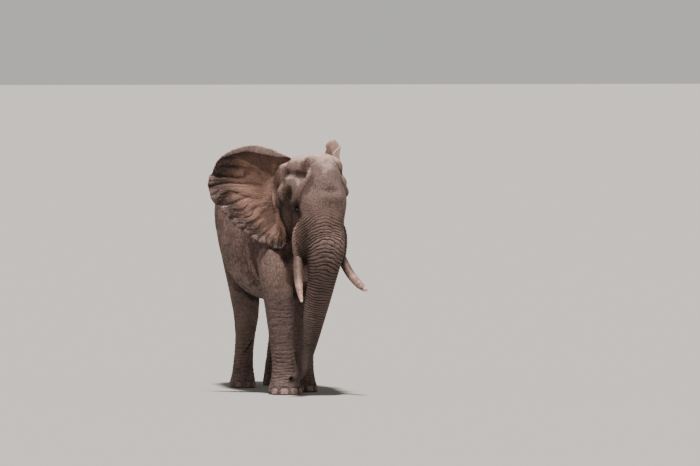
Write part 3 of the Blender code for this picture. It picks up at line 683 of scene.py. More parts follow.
def ringField(spots):  # the trunk's rings: phase, share of each spot, way along, and distance in radii
    make = reliefMaking
    rows = smoothRows([(1.56, 0.14, 2.42, 0.33, 0.33)] + trunkStations, 70)
    path = np.array([at(*row[:3]) for row in rows])
    along, gap, foot = alongPath(spots, path)
    steps = np.concatenate(([0], np.cumsum(np.linalg.norm(np.diff(path, axis=0), axis=1))))
    radius = np.interp(along, steps, rows[:, 3])
    turn = math.radians(make["ringTurn"])
    sideways = (spots - foot) @ np.array((math.cos(turn), math.sin(turn), 0.0))
    forward = -(spots - foot)[:, 1]
    arch = np.sqrt(1 + make["ringBend"] * (sideways / radius) ** 2) - 1
    lift = alongTable(along, make["ringArch"]) * radius * make["ringLift"] * arch
    way = along - np.where(forward > -0.05, lift, lift * 0.6)
    table = np.linspace(0, steps[-1], 400)
    turns = np.concatenate(([0], np.cumsum(np.diff(table) / alongTable(table[1:], make["ringSpacing"]))))
    phase = np.interp(way, table, turns)
    phase = phase + make["ringWander"] * softNoise(spots, (0.10, 0.10, 0.09), 31)
    phase = phase + make["ringJitter"] * softNoise(spots, 0.04, 32)
    share = gap / radius
    part = 1 - fade(share, 1.40, 2.20)
    part *= fade(along, 0.02, 0.30) * (along < steps[-1] - 0.002)
    part *= fade(forward + 0.30 * fade(along, 0.5, 0.9), -0.28, -0.10)
    return phase, part, way, share


def neighbourSteps(rows, axis):  # from the row before each one to the row after it
    count = rows.shape[axis]
    after = np.minimum(np.arange(count) + 1, count - 1)
    before = np.maximum(np.arange(count) - 1, 0)
    return rows.take(after, axis) - rows.take(before, axis)


def earNearness(spots, sheets):  # 1 on the ears, how far out from the root to the rim, and which rib
    part = np.zeros(len(spots))
    share = np.zeros(len(spots))
    rib = np.zeros(len(spots))
    for sheet in sheets:
        few = sheet[::4, ::3]
        flat = few.reshape(-1, 3)
        outward = np.tile(np.linspace(0, 1, few.shape[1]), len(few))
        number = np.repeat(np.linspace(0, 20, len(few)), few.shape[1])
        slopes = []
        for axis, across in ((0, 40 / (len(few) - 1)), (1, 2 / (few.shape[1] - 1))):
            slope = neighbourSteps(few, axis).reshape(-1, 3)
            slope /= np.maximum((slope**2).sum(axis=1), 1e-8)[:, None]
            slope *= across
            slopes.append(slope)
        ahead, further = slopes
        low, high = flat.min(axis=0) - 0.05, flat.max(axis=0) + 0.05
        near = np.flatnonzero(np.all((spots > low) & (spots < high), axis=1))
        for some in np.array_split(near, max(1, len(near) // 4000)):
            gaps = ((spots[some, None, :] - flat[None]) ** 2).sum(axis=2)
            nearest = gaps.argmin(axis=1)
            distance = np.sqrt(gaps[np.arange(len(some)), nearest])
            here = (1 - fade(distance, 0.030, 0.050)) * fade(outward[nearest], 0.0, 0.05)
            part[some] = np.maximum(part[some], here)
            offset = spots[some] - flat[nearest]
            share[some] = np.clip(outward[nearest] + (offset * further[nearest]).sum(axis=1), 0, 1)
            rib[some] = number[nearest] + (offset * ahead[nearest]).sum(axis=1)
    return part, share, rib


def skinRegions(spots, sheets):  # where each spot lies, and how far it belongs to each region
    here = SimpleNamespace(height=np.zeros(len(spots)), crease=np.zeros(len(spots)))
    here.head = headPlaces(spots)
    here.forward = -(spots[:, 1] + bodyMiddle[1])
    here.up = spots[:, 2]
    here.phase, here.rings, here.way, aside = ringField(spots)
    here.plain = 1 - 0.65 * fade(aside, 0.95, 1.5)  # beside the trunk its creases aren't as dark
    here.ear, here.earShare, here.earRib = earNearness(spots, sheets)
    here.face = fade(here.head[:, 0], -0.50, -0.36) * fade(here.up, 1.55, 1.75) * (1 - here.ear)
    here.legs = (1 - fade(here.up, 1.15, 1.45)) * (1 - fade(here.rings, 0.1, 0.6))
    here.legs *= 1 - fade(here.forward, 1.24, 1.30) * fade(here.up, 0.1, 0.3)
    here.body = (1 - here.legs) * (1 - here.face) * (1 - fade(here.rings, 0.1, 0.6)) * (1 - here.ear)
    here.ankle = here.legs * fade(here.up, 0.10, 0.18) * (1 - fade(here.up, 0.50, 0.75))
    here.foot = here.legs * (1 - fade(here.up, 0.16, 0.26))
    temple = [(-0.30, 0.41, 0.26), (-0.30, 0.41, 0.10)]
    here.temples = [nearness(spots, mirrored(temple, side), 0.085) for side in (1, -1)]
    return here


def folded(here, depth, shape, part, paintedShade=1.0):  # shape is 0 in a crease and 1 on a swell
    here.height += depth * (shape - 0.7) * part
    # the crease mark: painted shade down in each crease
    dips = paintedShade * (1 - shape) ** 3 * part * np.clip(depth / 0.006, 0.25, 1.0)
    here.crease = np.maximum(here.crease, dips)


def foldTrunk(here, spots):
    swell = np.abs(np.sin(math.pi * here.phase)) ** 0.6
    uneven = 0.75 + 0.45 * softNoise(np.stack((spots[:, 0], here.way * 3, spots[:, 1]), axis=1), 0.16, 33)
    depth = alongTable(here.way, reliefMaking["ringDepth"])
    here.height += depth * uneven * (swell - 0.7) * here.rings
    dips = (1 - swell) ** 1.5 * here.rings * here.plain * np.clip(depth / 0.006, 0.2, 1)
    here.crease = np.maximum(here.crease, dips * np.clip(uneven, 0.3, 1.2))


def foldLegs(here, spots):
    make = reliefMaking
    slant = spots @ np.array(((1, 0, 0.35), (0, 1, 0), (0, 0, 1))).T
    here.turns = slant[:, 2] / make["ankleSpacing"] + softNoise(spots, (0.28, 0.28, 0.16), 41)
    here.turns += make["ankleJitter"] * softNoise(spots, 0.06, 40)
    here.height += make["ankleDepth"] * (np.abs(np.sin(math.pi * here.turns)) ** 0.6 - 0.7) * here.ankle
    long = here.legs * (1 - 0.5 * here.ankle)
    folded(here, make["legDepth"], billow(slant, (0.20, 0.20, 0.045), 42, 0.5), long)
    folded(here, make["legDepth"] * 0.7, billow(spots, (0.07, 0.07, 0.060), 43, 0.5), here.legs)
    for depth, width, path in legCreases:
        near = nearness(spots, [at(*place) for place in path], width)
        folded(here, depth, 1 - near, here.legs)
    folded(here, make["footDepth"], billow(spots, (0.060, 0.060, 0.40), 49, 0.5), here.foot)


def foldBody(here, spots):
    make = reliefMaking
    neck = here.body * fade(here.forward, 0.55, 0.85) * fade(here.up, 1.3, 1.6)
    flank = here.body * (1 - fade(here.up, 2.2, 2.7)) * (1 - 0.6 * neck)
    for depth, size, seed, part, paintedShade in (
        (make["neckDepth"], (0.075, 0.075, 0.42), 44, neck, 0.5),
        (make["flankDepth"], (0.11, 0.11, 0.36), 45, flank, 0.3),
        (make["netDepth"], (0.085, 0.085, 0.060), 46, here.body, 0.4),
        (make["netDepth"] * 0.8, (0.050, 0.050, 0.055), 47, here.body, 0.4),
    ):
        folded(here, depth, billow(spots, size, seed, 0.5), part, paintedShade)
    here.height += make["lumps"] * softNoise(spots, 0.32, 48) * here.body


def foldFace(here, spots):
    head = here.head
    make = reliefMaking
    depth = make["headDepth"]
    brow = nearness(spots, [inHead(0.36, -0.16, 0.17), inHead(0.36, 0.16, 0.17)], 0.07)
    browSpots = np.stack((head[:, 0] * 0.3, head[:, 1], head[:, 2] + 0.8 * head[:, 1] ** 2), axis=1)
    folded(here, make["browDepth"], billow(browSpots, (0.3, 0.30, 0.030), 51, 0.5), brow)
    upper = here.face * (1 - fade(here.rings, 0.2, 0.7))
    folded(here, depth, billow(head, (0.055, 0.055, 0.045), 52, 0.5), upper)
    folded(here, depth * 0.8, billow(head, (0.028, 0.028, 0.026), 53, 0.5), upper)
    for temple in here.temples:
        bare = temple * (1 - here.ear)
        folded(here, make["templeDepth"], billow(head, (0.05, 0.05, 0.035), 54, 0.5), bare)


def foldEars(here, spots, facings):
    make = reliefMaking
    folded(here, make["earDepth"], billow(spots, 0.045, 55, 0.5), here.ear)
    wander = np.column_stack((here.earRib * 0.5, here.earShare * 3, here.earRib * 0))
    here.fold = here.earRib * make["earFolds"] + make["earWander"] * softNoise(wander, 1.0, 56)
    here.fold += make["earJitter"] * softNoise(spots, 0.09, 57)
    here.folding = here.ear * fade(here.earShare, 0.22, 0.75) * fade(here.earRib, 4.0, 7.0)
    here.folding *= 1 - 0.6 * fade(here.earShare, 0.97, 1.0)
    here.folding *= 0.75 + 0.4 * softNoise(spots, 0.22, 58)
    front = np.where(facings[:, 1] < 0, 1.0, -0.7)  # what is a swell before the ear is a dip behind it
    swell = np.abs(np.sin(math.pi * here.fold)) ** 0.7
    here.height += make["earFoldDepth"] * (swell - 0.6) * here.folding * front
    rim = here.ear * fade(here.earShare, 0.93, 0.985) * (1 - fade(here.up, 2.3, 2.6))
    here.crease = np.maximum(here.crease, 0.7 * rim)


def bedNails(here, spots):  # the hide lies lower and plain under each nail
    shares = 1 / np.array(reliefMaking["nailBedSize"])
    for _, _, centre, directions in nailPlaces():
        local = (spots - centre) @ directions
        bed = np.exp(-(((local[:, 1:] * shares) ** 2).sum(axis=1) ** 3))
        bed *= (local[:, 0] > -0.05) * (np.abs(local[:, 1]) < 0.1)
        here.height = here.height * (1 - bed) - reliefMaking["nailBed"] * bed
        here.crease = here.crease * (1 - bed)


def skinRelief(spots, facings, sheets):  # the folds' height, and what the finish reads
    here = skinRegions(spots, sheets)
    foldTrunk(here, spots)
    foldLegs(here, spots)
    foldBody(here, spots)
    foldFace(here, spots)
    foldEars(here, spots, facings)
    bedNails(here, spots)
    eyes = [eyeFrame(word)[0] for word in ("right", "left")]
    make = reliefMaking
    # painted shade round each eye, in its socket, and in the nostrils
    paintedShade = sum(np.exp(-(((spots - eye) / make["eyeShade"]) ** 2).sum(axis=1)) for eye in eyes)
    paintedShade += nearness(spots, [at(1.545, -0.290, 0.220), at(1.545, -0.325, 0.220)], make["noseShade"])
    tip = nearness(spots, [at(1.49, -0.25, 0.225), at(1.52, -0.31, 0.210)], make["tipShade"])
    return {
        "height": here.height * fade(here.up, 0.004, 0.05),
        # painted shade in the creases, and a dark ear rim
        "crease": np.clip(here.crease, 0, 1),
        "ringPhase": here.phase,
        "earFold": here.fold,
        "foldPart": here.folding,
        "ringPart": here.rings * (1 - here.ear) * here.plain,
        "earPart": here.ear,
        "legPart": here.legs,
        "anklePhase": here.turns,
        "anklePart": np.clip(here.ankle * 0.8 + 0.45 * here.legs * softNoise(spots, 0.20, 38), 0, 1),
        # foot dust, laid heavier on the hind feet as painted light
        "footDustAndLight": here.foot * np.where(here.forward > 0, 0.45, 1.0),
        "facePart": here.face,
        "trunkLow": here.rings * fade(here.way, 0.35, 0.9) * here.plain,
        "trunkTip": np.maximum(here.rings * fade(here.way, 1.40, 1.75), np.clip(1.6 * tip, 0, 1)),
        "earOut": fade(here.earShare, 0.40, 0.95),
        "socketAndNostrilShade": paintedShade,
        # a painted highlight, in the dust's colour, on the left ear's top
        "leftEarTopHighlight": here.ear * fade(here.up, 2.80, 3.0) * (spots[:, 0] > 0.2),
        "calm": (1 - 0.6 * sum(here.temples)) * (1 - 0.75 * here.body),
    }


# What the hide's finish reads at each point.
skinMarks = ("crease", "hollowShade", "ridgeDustAndHighlight", "ringPhase", "ringPart", "trunkLow", "trunkTip")
skinMarks += ("earFold", "foldPart", "earPart", "earOut", "leftEarTopHighlight", "facePart", "socketAndNostrilShade")
skinMarks += ("legPart", "footDustAndLight", "anklePhase", "anklePart")


def sinking(mesh, rounds):  # how far each point lies under the skin's own smoothed shape
    return ((smoothed(mesh, rounds) - spotsOf(mesh)) * facingsOf(mesh)).sum(axis=1)


def flatSoles(thing):  # the legs end on the floor
    bm = bmesh.new()
    bm.from_mesh(thing.data)
    everything = bm.verts[:] + bm.edges[:] + bm.faces[:]
    floor = {"plane_co": (0, 0, 0), "plane_no": (0, 0, -1)}
    sliced = bmesh.ops.bisect_plane(bm, geom=everything, clear_outer=True, **floor)
    rim = [piece for piece in sliced["geom_cut"] if isinstance(piece, bmesh.types.BMEdge)]
    bmesh.ops.holes_fill(bm, edges=rim, sides=0)
    bmesh.ops.triangulate(bm, faces=bm.faces)
    bm.to_mesh(thing.data)
    bm.free()


def thinned(thing, triangles):
    thing.data.calc_loop_triangles()
    thin = thing.modifiers.new("thin", "DECIMATE")
    thin.ratio = min(1.0, triangles / len(thing.data.loop_triangles))
    return settled(thing)


def cut(thing, cutter, operation):
    change = thing.modifiers.new("cut", "BOOLEAN")
    change.operation = operation
    change.solver = "EXACT"
    change.object = cutter
    settled(thing)
    bpy.data.objects.remove(cutter, do_unlink=True)
    return thing


# The trunk's end: a cup with two nostrils in it, turned a little to the front, and a finger under it.
trunkEnd = {
    "cup": ((1.550, -0.318, 0.224), (0.052, 0.050, 0.038)),
    "pits": ((1.505, -0.290, 0.216), (1.538, -0.290, 0.218)),
    "pitRadii": (0.050, 0.013, 0.018),
    "finger": ((1.520, -0.328, 0.180), (0.022, 0.020, 0.014)),
    "lean": (0, -12, 20),
}


def makeSkin(sheets):
    make = skinMaking
    forms = [torsoForm(), neckForm(), *headForms(), *bodyMasses(), tube(trunkStations), *legForms()]
    place, radii = trunkEnd["finger"]
    forms.append(ball(at(*place), radii))
    flesh = fuse("flesh", forms, make["coarseGrain"], roundsFor(make["rounds"]))
    softenSides(flesh)
    setSpots(flesh.data, broadCarving(spotsOf(flesh.data), facingsOf(flesh.data)))
    place, radii = trunkEnd["cup"]
    cut(flesh, ball(at(*place), radii), "DIFFERENCE")
    for place in trunkEnd["pits"]:
        cut(flesh, ball(at(*place), trunkEnd["pitRadii"], trunkEnd["lean"]), "DIFFERENCE")
    print("flesh", len(flesh.data.vertices), "points")
    forms = [flesh, *[earForm(sheet) for sheet in sheets], tube(tailStations, count=40, points=24)]
    skin = fuse("elephant_skin", forms, make["fineGrain"], 2)
    print("skin", len(skin.data.vertices), "points")
    flatSoles(skin)
    spots = spotsOf(skin.data)
    facings = facingsOf(skin.data)
    relief = skinRelief(spots, facings, sheets)
    setSpots(skin.data, spots + facings * relief["height"][:, None])
    thinned(skin, make["triangles"])
    openEyes(skin)
    relief = skinRelief(spotsOf(skin.data), facingsOf(skin.data), sheets)
    # painted shade where the skin lies under its own smoothed shape
    sunk = 0.6 * sinking(skin.data, 8) / 0.004 + sinking(skin.data, 60) / 0.020
    relief["hollowShade"] = fade(sunk, 0.25, 1.6) * relief["calm"]
    # dust and a painted highlight where the skin stands proud
    relief["ridgeDustAndHighlight"] = fade(-sunk, 0.3, 1.6)
    for name in skinMarks:
        mark(skin.data, name, relief[name])
    skin.data.shade_smooth()
    print("skin thinned to", len(skin.data.polygons), "triangles")
    return skin


def linear(text):  # an sRGB hex colour as linear red, green, blue and alpha
    parts = [int(text[i : i + 2], 16) / 255 for i in (1, 3, 5)]
    return (*[p / 12.92 if p <= 0.04045 else ((p + 0.055) / 1.055) ** 2.4 for p in parts], 1.0)


def addNode(tree, kind, inputs=None, out=0, **settings):  # inputs are values or other nodes' outputs
    node = tree.nodes.new(kind)
    for name, value in settings.items():
        setattr(node, name, value)
    for socket, value in (inputs or {}).items():
        if isinstance(value, bpy.types.NodeSocket):
            tree.links.new(value, node.inputs[socket])
        else:
            node.inputs[socket].default_value = value
    return node.outputs[out] if len(node.outputs) else node


def newMaterial(name, roughness, specular=0.5, ior=1.45):
    made = bpy.data.materials.new(name)
    made.use_nodes = True
    surface = made.node_tree.nodes["Principled BSDF"]
    surface.inputs["Roughness"].default_value = roughness
    surface.inputs["IOR"].default_value = ior
    surface.inputs["Specular IOR Level"].default_value = specular
    return made, made.node_tree, surface


def painted(tree, base, coats):  # a coat: its share, where that starts and ends, the most, its colour
    for share, low, high, most, colour in coats:
        limits = {0: share, 1: low, 2: high, 3: 0.0, 4: most}
        part = addNode(tree, "ShaderNodeMapRange", limits, interpolation_type="SMOOTHSTEP")
        base = addNode(tree, "ShaderNodeMix", {0: part, 6: base, 7: linear(colour)}, 2, data_type="RGBA")
    return base


def finished(made, colour, relief=None, depth=0.0):  # the material with its colour and fine bumps linked
    tree = made.node_tree
    surface = tree.nodes["Principled BSDF"]
    tree.links.new(colour, surface.inputs["Base Color"])
    if relief:
        bump = addNode(tree, "ShaderNodeBump", {"Height": relief, "Strength": 0.7, "Distance": depth})
        tree.links.new(bump, surface.inputs["Normal"])
    return made


skinLooks = {
    "deep": "#1d1615",  # in creases, where no dust gets, and as painted shade there, in hollows, undersides and eyes
    "hide": "#57443f",  # the hide's own grey-brown
    "warm": "#775a50",  # where red-brown earth has been rubbed in
    "dust": "#e6c2b6",  # dry dust on what faces up and on ridges, partly a painted highlight there
    "leg": "#3a2f31",  # mud up to the elbows
    "footDust": "#8f7973",  # what the feet throw up and what runs down them, more on the hind feet as painted light
    "trunk": "#4b3e3b",  # damp from water and licked dust
    "ear": "#b08776",  # thin skin, the blood near it
    "earRim": "#4a3a35",
    "nets": {  # width and height of the wrinkles' cells, and how they slant, by region
        "body": ((0.030, 0.030, 0.085), (0.15, 0.0, 0.0)),
        "legs": ((0.120, 0.120, 0.022), (0.30, 0.25, 0.0)),
        "face": ((0.034, 0.034, 0.018), (0.0, 0.0, 0.0)),
    },
    "noises": {"broad": (2.2, 4.0), "blotch": (8.0, 5.0), "patchy": (5.0, 3.0), "speck": (70.0, 3.0)},
    "warp": 0.040,  # how far the wrinkles wander
    "fineNet": 0.011,  # the small cells between wrinkles, and the grain's pimples in them
    "netDepth": 0.0035,
    "lineDepths": {"ringPart": 0.009, "foldPart": 0.006, "anklePart": 0.0045},
    "fineDepth": 0.0018,
    "grainSize": 0.005,
    "grainDepth": 0.0006,
}


eased = {"interpolation_type": "SMOOTHSTEP"}
cracks = {"feature": "DISTANCE_TO_EDGE"}


def wrinkleNet(tree, warped, kept):  # cells by region: 0 in the creases between them, 1 on the swells
    ways = {}
    for name, (size, slant) in skinLooks["nets"].items():
        inputs = {"Vector": warped, "Rotation": slant, "Scale": [1 / s for s in size]}
        ways[name] = addNode(tree, "ShaderNodeMapping", inputs)
    apart = addNode(tree, "ShaderNodeSeparateXYZ", {0: warped}).node
    for name, phase, axes, often in (("trunk", "ringPhase", (0, 1), 9.0), ("ear", "earFold", (0, 2), 5.0)):
        parts = [(kept[phase], 2.2)] + [(apart.outputs[axis], often) for axis in axes]
        parts = [addNode(tree, "ShaderNodeMath", {0: a, 1: b}, operation="MULTIPLY") for a, b in parts]
        ways[name] = addNode(tree, "ShaderNodeCombineXYZ", dict(enumerate(parts)))
    edges = {}
    for name, way in ways.items():
        edge = addNode(tree, "ShaderNodeTexVoronoi", {"Vector": way, "Scale": 1.0}, "Distance", **cracks)
        edges[name] = addNode(tree, "ShaderNodeMapRange", {0: edge, 1: 0.0, 2: 0.30}, **eased)
    net = edges["body"]
    for name, part in (("legs", "legPart"), ("face", "facePart"), ("trunk", "ringPart"), ("ear", "earPart")):
        net = addNode(tree, "ShaderNodeMix", {0: kept[part], 2: net, 3: edges[name]})
    return net


def creaseLines(tree, kept):  # 1 along the rings' and folds' own creases
    lines = {}
    for phase, part, wide in (
        ("ringPhase", "ringPart", 0.19),
        ("earFold", "foldPart", 0.19),
        ("anklePhase", "anklePart", 0.12),
    ):
        wave = addNode(tree, "ShaderNodeMath", {0: kept[phase], 1: 0.5}, operation="PINGPONG")
        wave = addNode(tree, "ShaderNodeMapRange", {0: wave, 1: 0.01, 2: wide}, **eased)
        wave = addNode(tree, "ShaderNodeMath", {0: 1.0, 1: wave}, operation="SUBTRACT")
        lines[part] = addNode(tree, "ShaderNodeMath", {0: wave, 1: kept[part]}, operation="MULTIPLY")
    calm = addNode(tree, "ShaderNodeMapRange", {0: kept["trunkTip"], 3: 1.0, 4: 0.45})
    calmed = {0: lines["ringPart"], 1: calm}
    lines["ringPart"] = addNode(tree, "ShaderNodeMath", calmed, operation="MULTIPLY")
    return lines


def skinColour(tree, place, kept, noises, folds):  # from the hide's own colour out to the dust and mud, with painted shade and highlights
    look = skinLooks
    facing = addNode(tree, "ShaderNodeNewGeometry", {}, "Normal")
    up = addNode(tree, "ShaderNodeSeparateXYZ", {0: facing}, 2)
    fall = addNode(tree, "ShaderNodeMapping", {"Vector": place, "Scale": (24.0, 24.0, 3.0)})
    streaky = addNode(tree, "ShaderNodeTexNoise", {"Vector": fall, "Scale": 1.0, "Detail": 3.0})
    streaky = addNode(tree, "ShaderNodeMath", {0: streaky, 1: kept["footDustAndLight"]}, operation="MULTIPLY")
    dusty = addNode(tree, "ShaderNodeMath", {0: up, 1: noises["blotch"]}, operation="ADD")
    base = painted(
        tree,
        linear(look["hide"]),
        [
            (noises["broad"], 0.35, 0.65, 0.8, look["warm"]),
            (kept["legPart"], 0.0, 1.0, 0.85, look["leg"]),
        ],
    )
    ear = painted(tree, linear(look["ear"]), [(kept["earOut"], 0.0, 1.0, 1.0, look["earRim"])])
    base = addNode(tree, "ShaderNodeMix", {0: kept["earPart"], 6: base, 7: ear}, 2, data_type="RGBA")
    return painted(
        tree,
        base,
        [
            # painted shade on what faces down
            (up, 0.1, -0.8, 0.75, look["deep"]),
            # dust on what faces up, partly a painted highlight on top
            (dusty, 0.85, 1.45, 1.0, look["dust"]),
            # dust streaks down the feet, heavier on the hind feet as painted light
            (streaky, 0.10, 0.60, 0.85, look["footDust"]),
            (kept["anklePart"], 0.0, 1.0, 0.20, look["footDust"]),
            # dust on the ridges, partly a painted highlight
            (kept["ridgeDustAndHighlight"], 0.0, 1.0, 0.12, look["dust"]),
            (noises["speck"], 0.45, 0.75, 0.20, look["dust"]),
            (kept["trunkLow"], 0.0, 1.0, 0.80, look["trunk"]),
            (kept["trunkTip"], 0.0, 1.0, 0.70, look["deep"]),
            (kept["legPart"], 0.0, 1.0, 0.35, look["deep"]),
            # painted highlight on the left ear's top
            (kept["leftEarTopHighlight"], 0.0, 1.0, 0.9, look["dust"]),
            (kept["ridgeDustAndHighlight"], 0.0, 1.0, 0.10, look["dust"]),
            (noises["speck"], 0.55, 0.25, 0.30, look["deep"]),
            # painted shade: hollows, creases, the net's cracks, ring, fold and ankle lines, fine cracks,
            # eyes, nostrils
            (kept["hollowShade"], 0.0, 1.0, 0.55, look["deep"]),
            (kept["crease"], 0.10, 1.0, 0.65, look["deep"]),
            (folds["gap"], 0.25, 1.0, 0.34, look["deep"]),
            (folds["ringPart"], 0.1, 1.0, 0.75, look["deep"]),
            (folds["foldPart"], 0.1, 1.0, 0.70, look["deep"]),
            (folds["anklePart"], 0.1, 0.9, 0.42, look["deep"]),
            (folds["fine"], 0.6, 0.0, 0.22, look["deep"]),
            (kept["socketAndNostrilShade"], 0.0, 0.8, 0.92, look["deep"]),
        ],
    )


def skinMaterial():
    # Thick dry hide, cracked by folding, dusted with red earth: no gloss; pale on top, partly painted light;
    # painted shade in folds.
    look = skinLooks
    made, tree, surface = newMaterial("dusty elephant hide", 0.80, 0.25)
    place = addNode(tree, "ShaderNodeTexCoord", out="Object")
    kept = {}
    for name in skinMarks:
        kept[name] = addNode(tree, "ShaderNodeAttribute", {}, "Fac", attribute_name=name)
    noises = {}
    for name, (scale, detail) in look["noises"].items():
        inputs = {"Vector": place, "Scale": scale, "Detail": detail}
        noises[name] = addNode(tree, "ShaderNodeTexNoise", inputs)
    warp = addNode(tree, "ShaderNodeTexNoise", {"Vector": place, "Scale": 8.0, "Detail": 3.0}, "Color")
    warp = addNode(tree, "ShaderNodeVectorMath", {0: warp, "Scale": look["warp"]}, operation="SCALE")
    warped = addNode(tree, "ShaderNodeVectorMath", {0: place, 1: warp}, operation="ADD")
    net = wrinkleNet(tree, warped, kept)
    patchy = addNode(tree, "ShaderNodeMapRange", {0: noises["patchy"], 1: 0.35, 2: 0.62, 3: 0.45, 4: 1.0})
    # the net's cracks: painted shade in the colour, sunk in the bump
    gap = addNode(tree, "ShaderNodeMath", {0: 1.0, 1: net}, operation="SUBTRACT")
    gap = addNode(tree, "ShaderNodeMath", {0: gap, 1: patchy}, operation="MULTIPLY")
    cells = {"Vector": warped, "Scale": 1 / look["fineNet"]}
    fine = addNode(tree, "ShaderNodeTexVoronoi", cells, "Distance", **cracks)
    fine = addNode(tree, "ShaderNodeMapRange", {0: fine, 1: 0.0, 2: 0.18}, **eased)
    cells = {"Vector": place, "Scale": 1 / look["grainSize"]}
    grain = addNode(tree, "ShaderNodeTexVoronoi", cells, "Distance")
    lines = creaseLines(tree, kept)
    folds = {"gap": gap, "fine": fine, **lines}
    tree.links.new(skinColour(tree, place, kept, noises, folds), surface.inputs["Base Color"])
    bump = None
    for height, depth in (
        (gap, -look["netDepth"]),
        *[(lines[part], -deep) for part, deep in look["lineDepths"].items()],
        (fine, look["fineDepth"]),
        (grain, -look["grainDepth"]),
    ):
        inputs = {"Height": height, "Strength": 1.0, "Distance": abs(depth)}
        if bump:
            inputs["Normal"] = bump
        bump = addNode(tree, "ShaderNodeBump", inputs, invert=depth < 0)
    tree.links.new(bump, surface.inputs["Normal"])
    return made


stand = {"floorSize": 1200.0, "floor": "#b5b1ac", "sky": "#dcdcda", "backdrop": "#c4c3c0"}


def makeFloor():
    half = stand["floorSize"] / 2
    mesh = bpy.data.meshes.new("floor")
    corners = [(-half, -half, 0), (half, -half, 0), (half, half, 0), (-half, half, 0)]
    mesh.from_pydata(corners, [], [(0, 1, 2, 3)])
    floor = added("floor", mesh)
    made, _, surface = newMaterial("matt studio floor", 0.9, 0.2)
    surface.inputs["Base Color"].default_value = linear(stand["floor"])
    mesh.materials.append(made)


lights = {
    "sun": 6.0,
    "sunSoftness": 5.0,
    "sunFrom": (-0.08, -0.25, 1.0),
    "sunColour": (1.0, 0.975, 0.95),
    "fill": 0.34,
    "backdrop": 0.95,
}


def makeLights():
    world = bpy.data.worlds.new("studio air")
    scene.world = world
    world.use_nodes = True
    tree = world.node_tree
    back = tree.nodes["Background"]
    seen = addNode(tree, "ShaderNodeLightPath", {}, "Is Camera Ray")
    colours = {0: seen, 6: linear(stand["sky"]), 7: linear(stand["backdrop"])}
    tree.links.new(addNode(tree, "ShaderNodeMix", colours, 2, data_type="RGBA"), back.inputs["Color"])
    strengths = {0: seen, 2: lights["fill"], 3: lights["backdrop"]}
    tree.links.new(addNode(tree, "ShaderNodeMix", strengths), back.inputs["Strength"])
    lamp = bpy.data.lights.new("key", "SUN")
    lamp.energy = lights["sun"]
    lamp.angle = math.radians(lights["sunSoftness"])
    lamp.color = lights["sunColour"]
    key = added("key", lamp)
    key.rotation_euler = Vector(lights["sunFrom"]).to_track_quat("Z", "Y").to_euler()


# The viewer stands far off, ahead of the animal and a little to its right, at the height of its head.
view = {
    "azimuth": -17.0,
    "elevation": 1.7,
    "distance": 80.0,
    "lens": 325.03,
    "sideways": 0.909,
    "height": 1.989,
    "farthest": 2000.0,
}


def makeCamera():
    turn, tilt = math.radians(view["azimuth"]), math.radians(view["elevation"])
    right = np.array((math.cos(turn), math.sin(turn), 0.0))
    ahead = np.array((-math.sin(turn) * math.cos(tilt), math.cos(turn) * math.cos(tilt), -math.sin(tilt)))
    aim = right * view["sideways"] + at(0, 0, view["height"])
    camera = bpy.data.cameras.new("camera")
    camera.lens = view["lens"]
    camera.clip_end = view["farthest"]
    scene.camera = added("camera", camera)
    scene.camera.location = aim - ahead * view["distance"]
    scene.camera.rotation_euler = Vector(-ahead).to_track_quat("Z", "Y").to_euler()


# The tusks: worn, stained and chipped short.
tuskMaking = {
    "rings": 120,
    "around": 48,
    "wear": 0.0016,  # how far the face wanders from round
    "chip": 0.012,  # how deep the tip is broken
    "drops": {"right": 0.54, "left": 0.41},  # how far each tip hangs under the lip
    "tips": {"right": 0.010, "left": 0.024},  # one worn sharp, the other blunt
}


def tuskForm(name, side, drop, tip):
    make = tuskMaking
    rows = smoothRows(
        [
            (-0.12, 0.195, -0.46, 0.050),
            (-0.05, 0.285, -0.650, 0.058),
            (0.10, 0.345, -0.65 - 0.50 * drop, 0.055),
            (0.27, 0.395, -0.65 - 0.82 * drop, 0.025 + tip),
            (0.38, 0.424, -0.65 - 0.95 * drop, 0.012 + tip),
            (0.42, 0.435, -0.65 - drop, tip),
        ],
        make["rings"],
    )
    path = np.array([inHead(u, side * l, w) for u, l, w, _ in rows])
    along = np.gradient(path, axis=0)
    along /= np.linalg.norm(along, axis=1)[:, None]
    first = np.cross(along, (0, 0, 1.0))
    first /= np.linalg.norm(first, axis=1)[:, None]
    second = np.cross(along, first)
    turn = np.linspace(0, 2 * math.pi, make["around"], endpoint=False)
    rings = []
    shares = np.linspace(0, 1, make["rings"])
    for place, radius, a, b, share in zip(path, rows[:, 3], first, second, shares):
        dome = math.sqrt(max(0.0, 1 - max(0.0, (share - 0.965) / 0.035) ** 2)) * 0.97 + 0.03
        around = np.outer(np.cos(turn), a) + np.outer(np.sin(turn), b)
        places = np.column_stack((np.cos(turn) * 2, np.sin(turn) * 2, np.full(len(turn), share * 9)))
        worn = softNoise(places, 1.0, 61)
        broken = np.clip(softNoise(around * 3 + side, 1.0, 62) - 0.1, 0, 1)
        chip = broken * fade(share, 0.90, 0.99) * make["chip"]
        size = radius * dome + make["wear"] * worn - chip
        rings.append(place + around * size[:, None])
    made = loft(name, rings)
    made.data.shade_smooth()
    mark(made.data, "tuskOut", np.repeat(fade(shares, 0.30, 1.0), make["around"]))
    return made


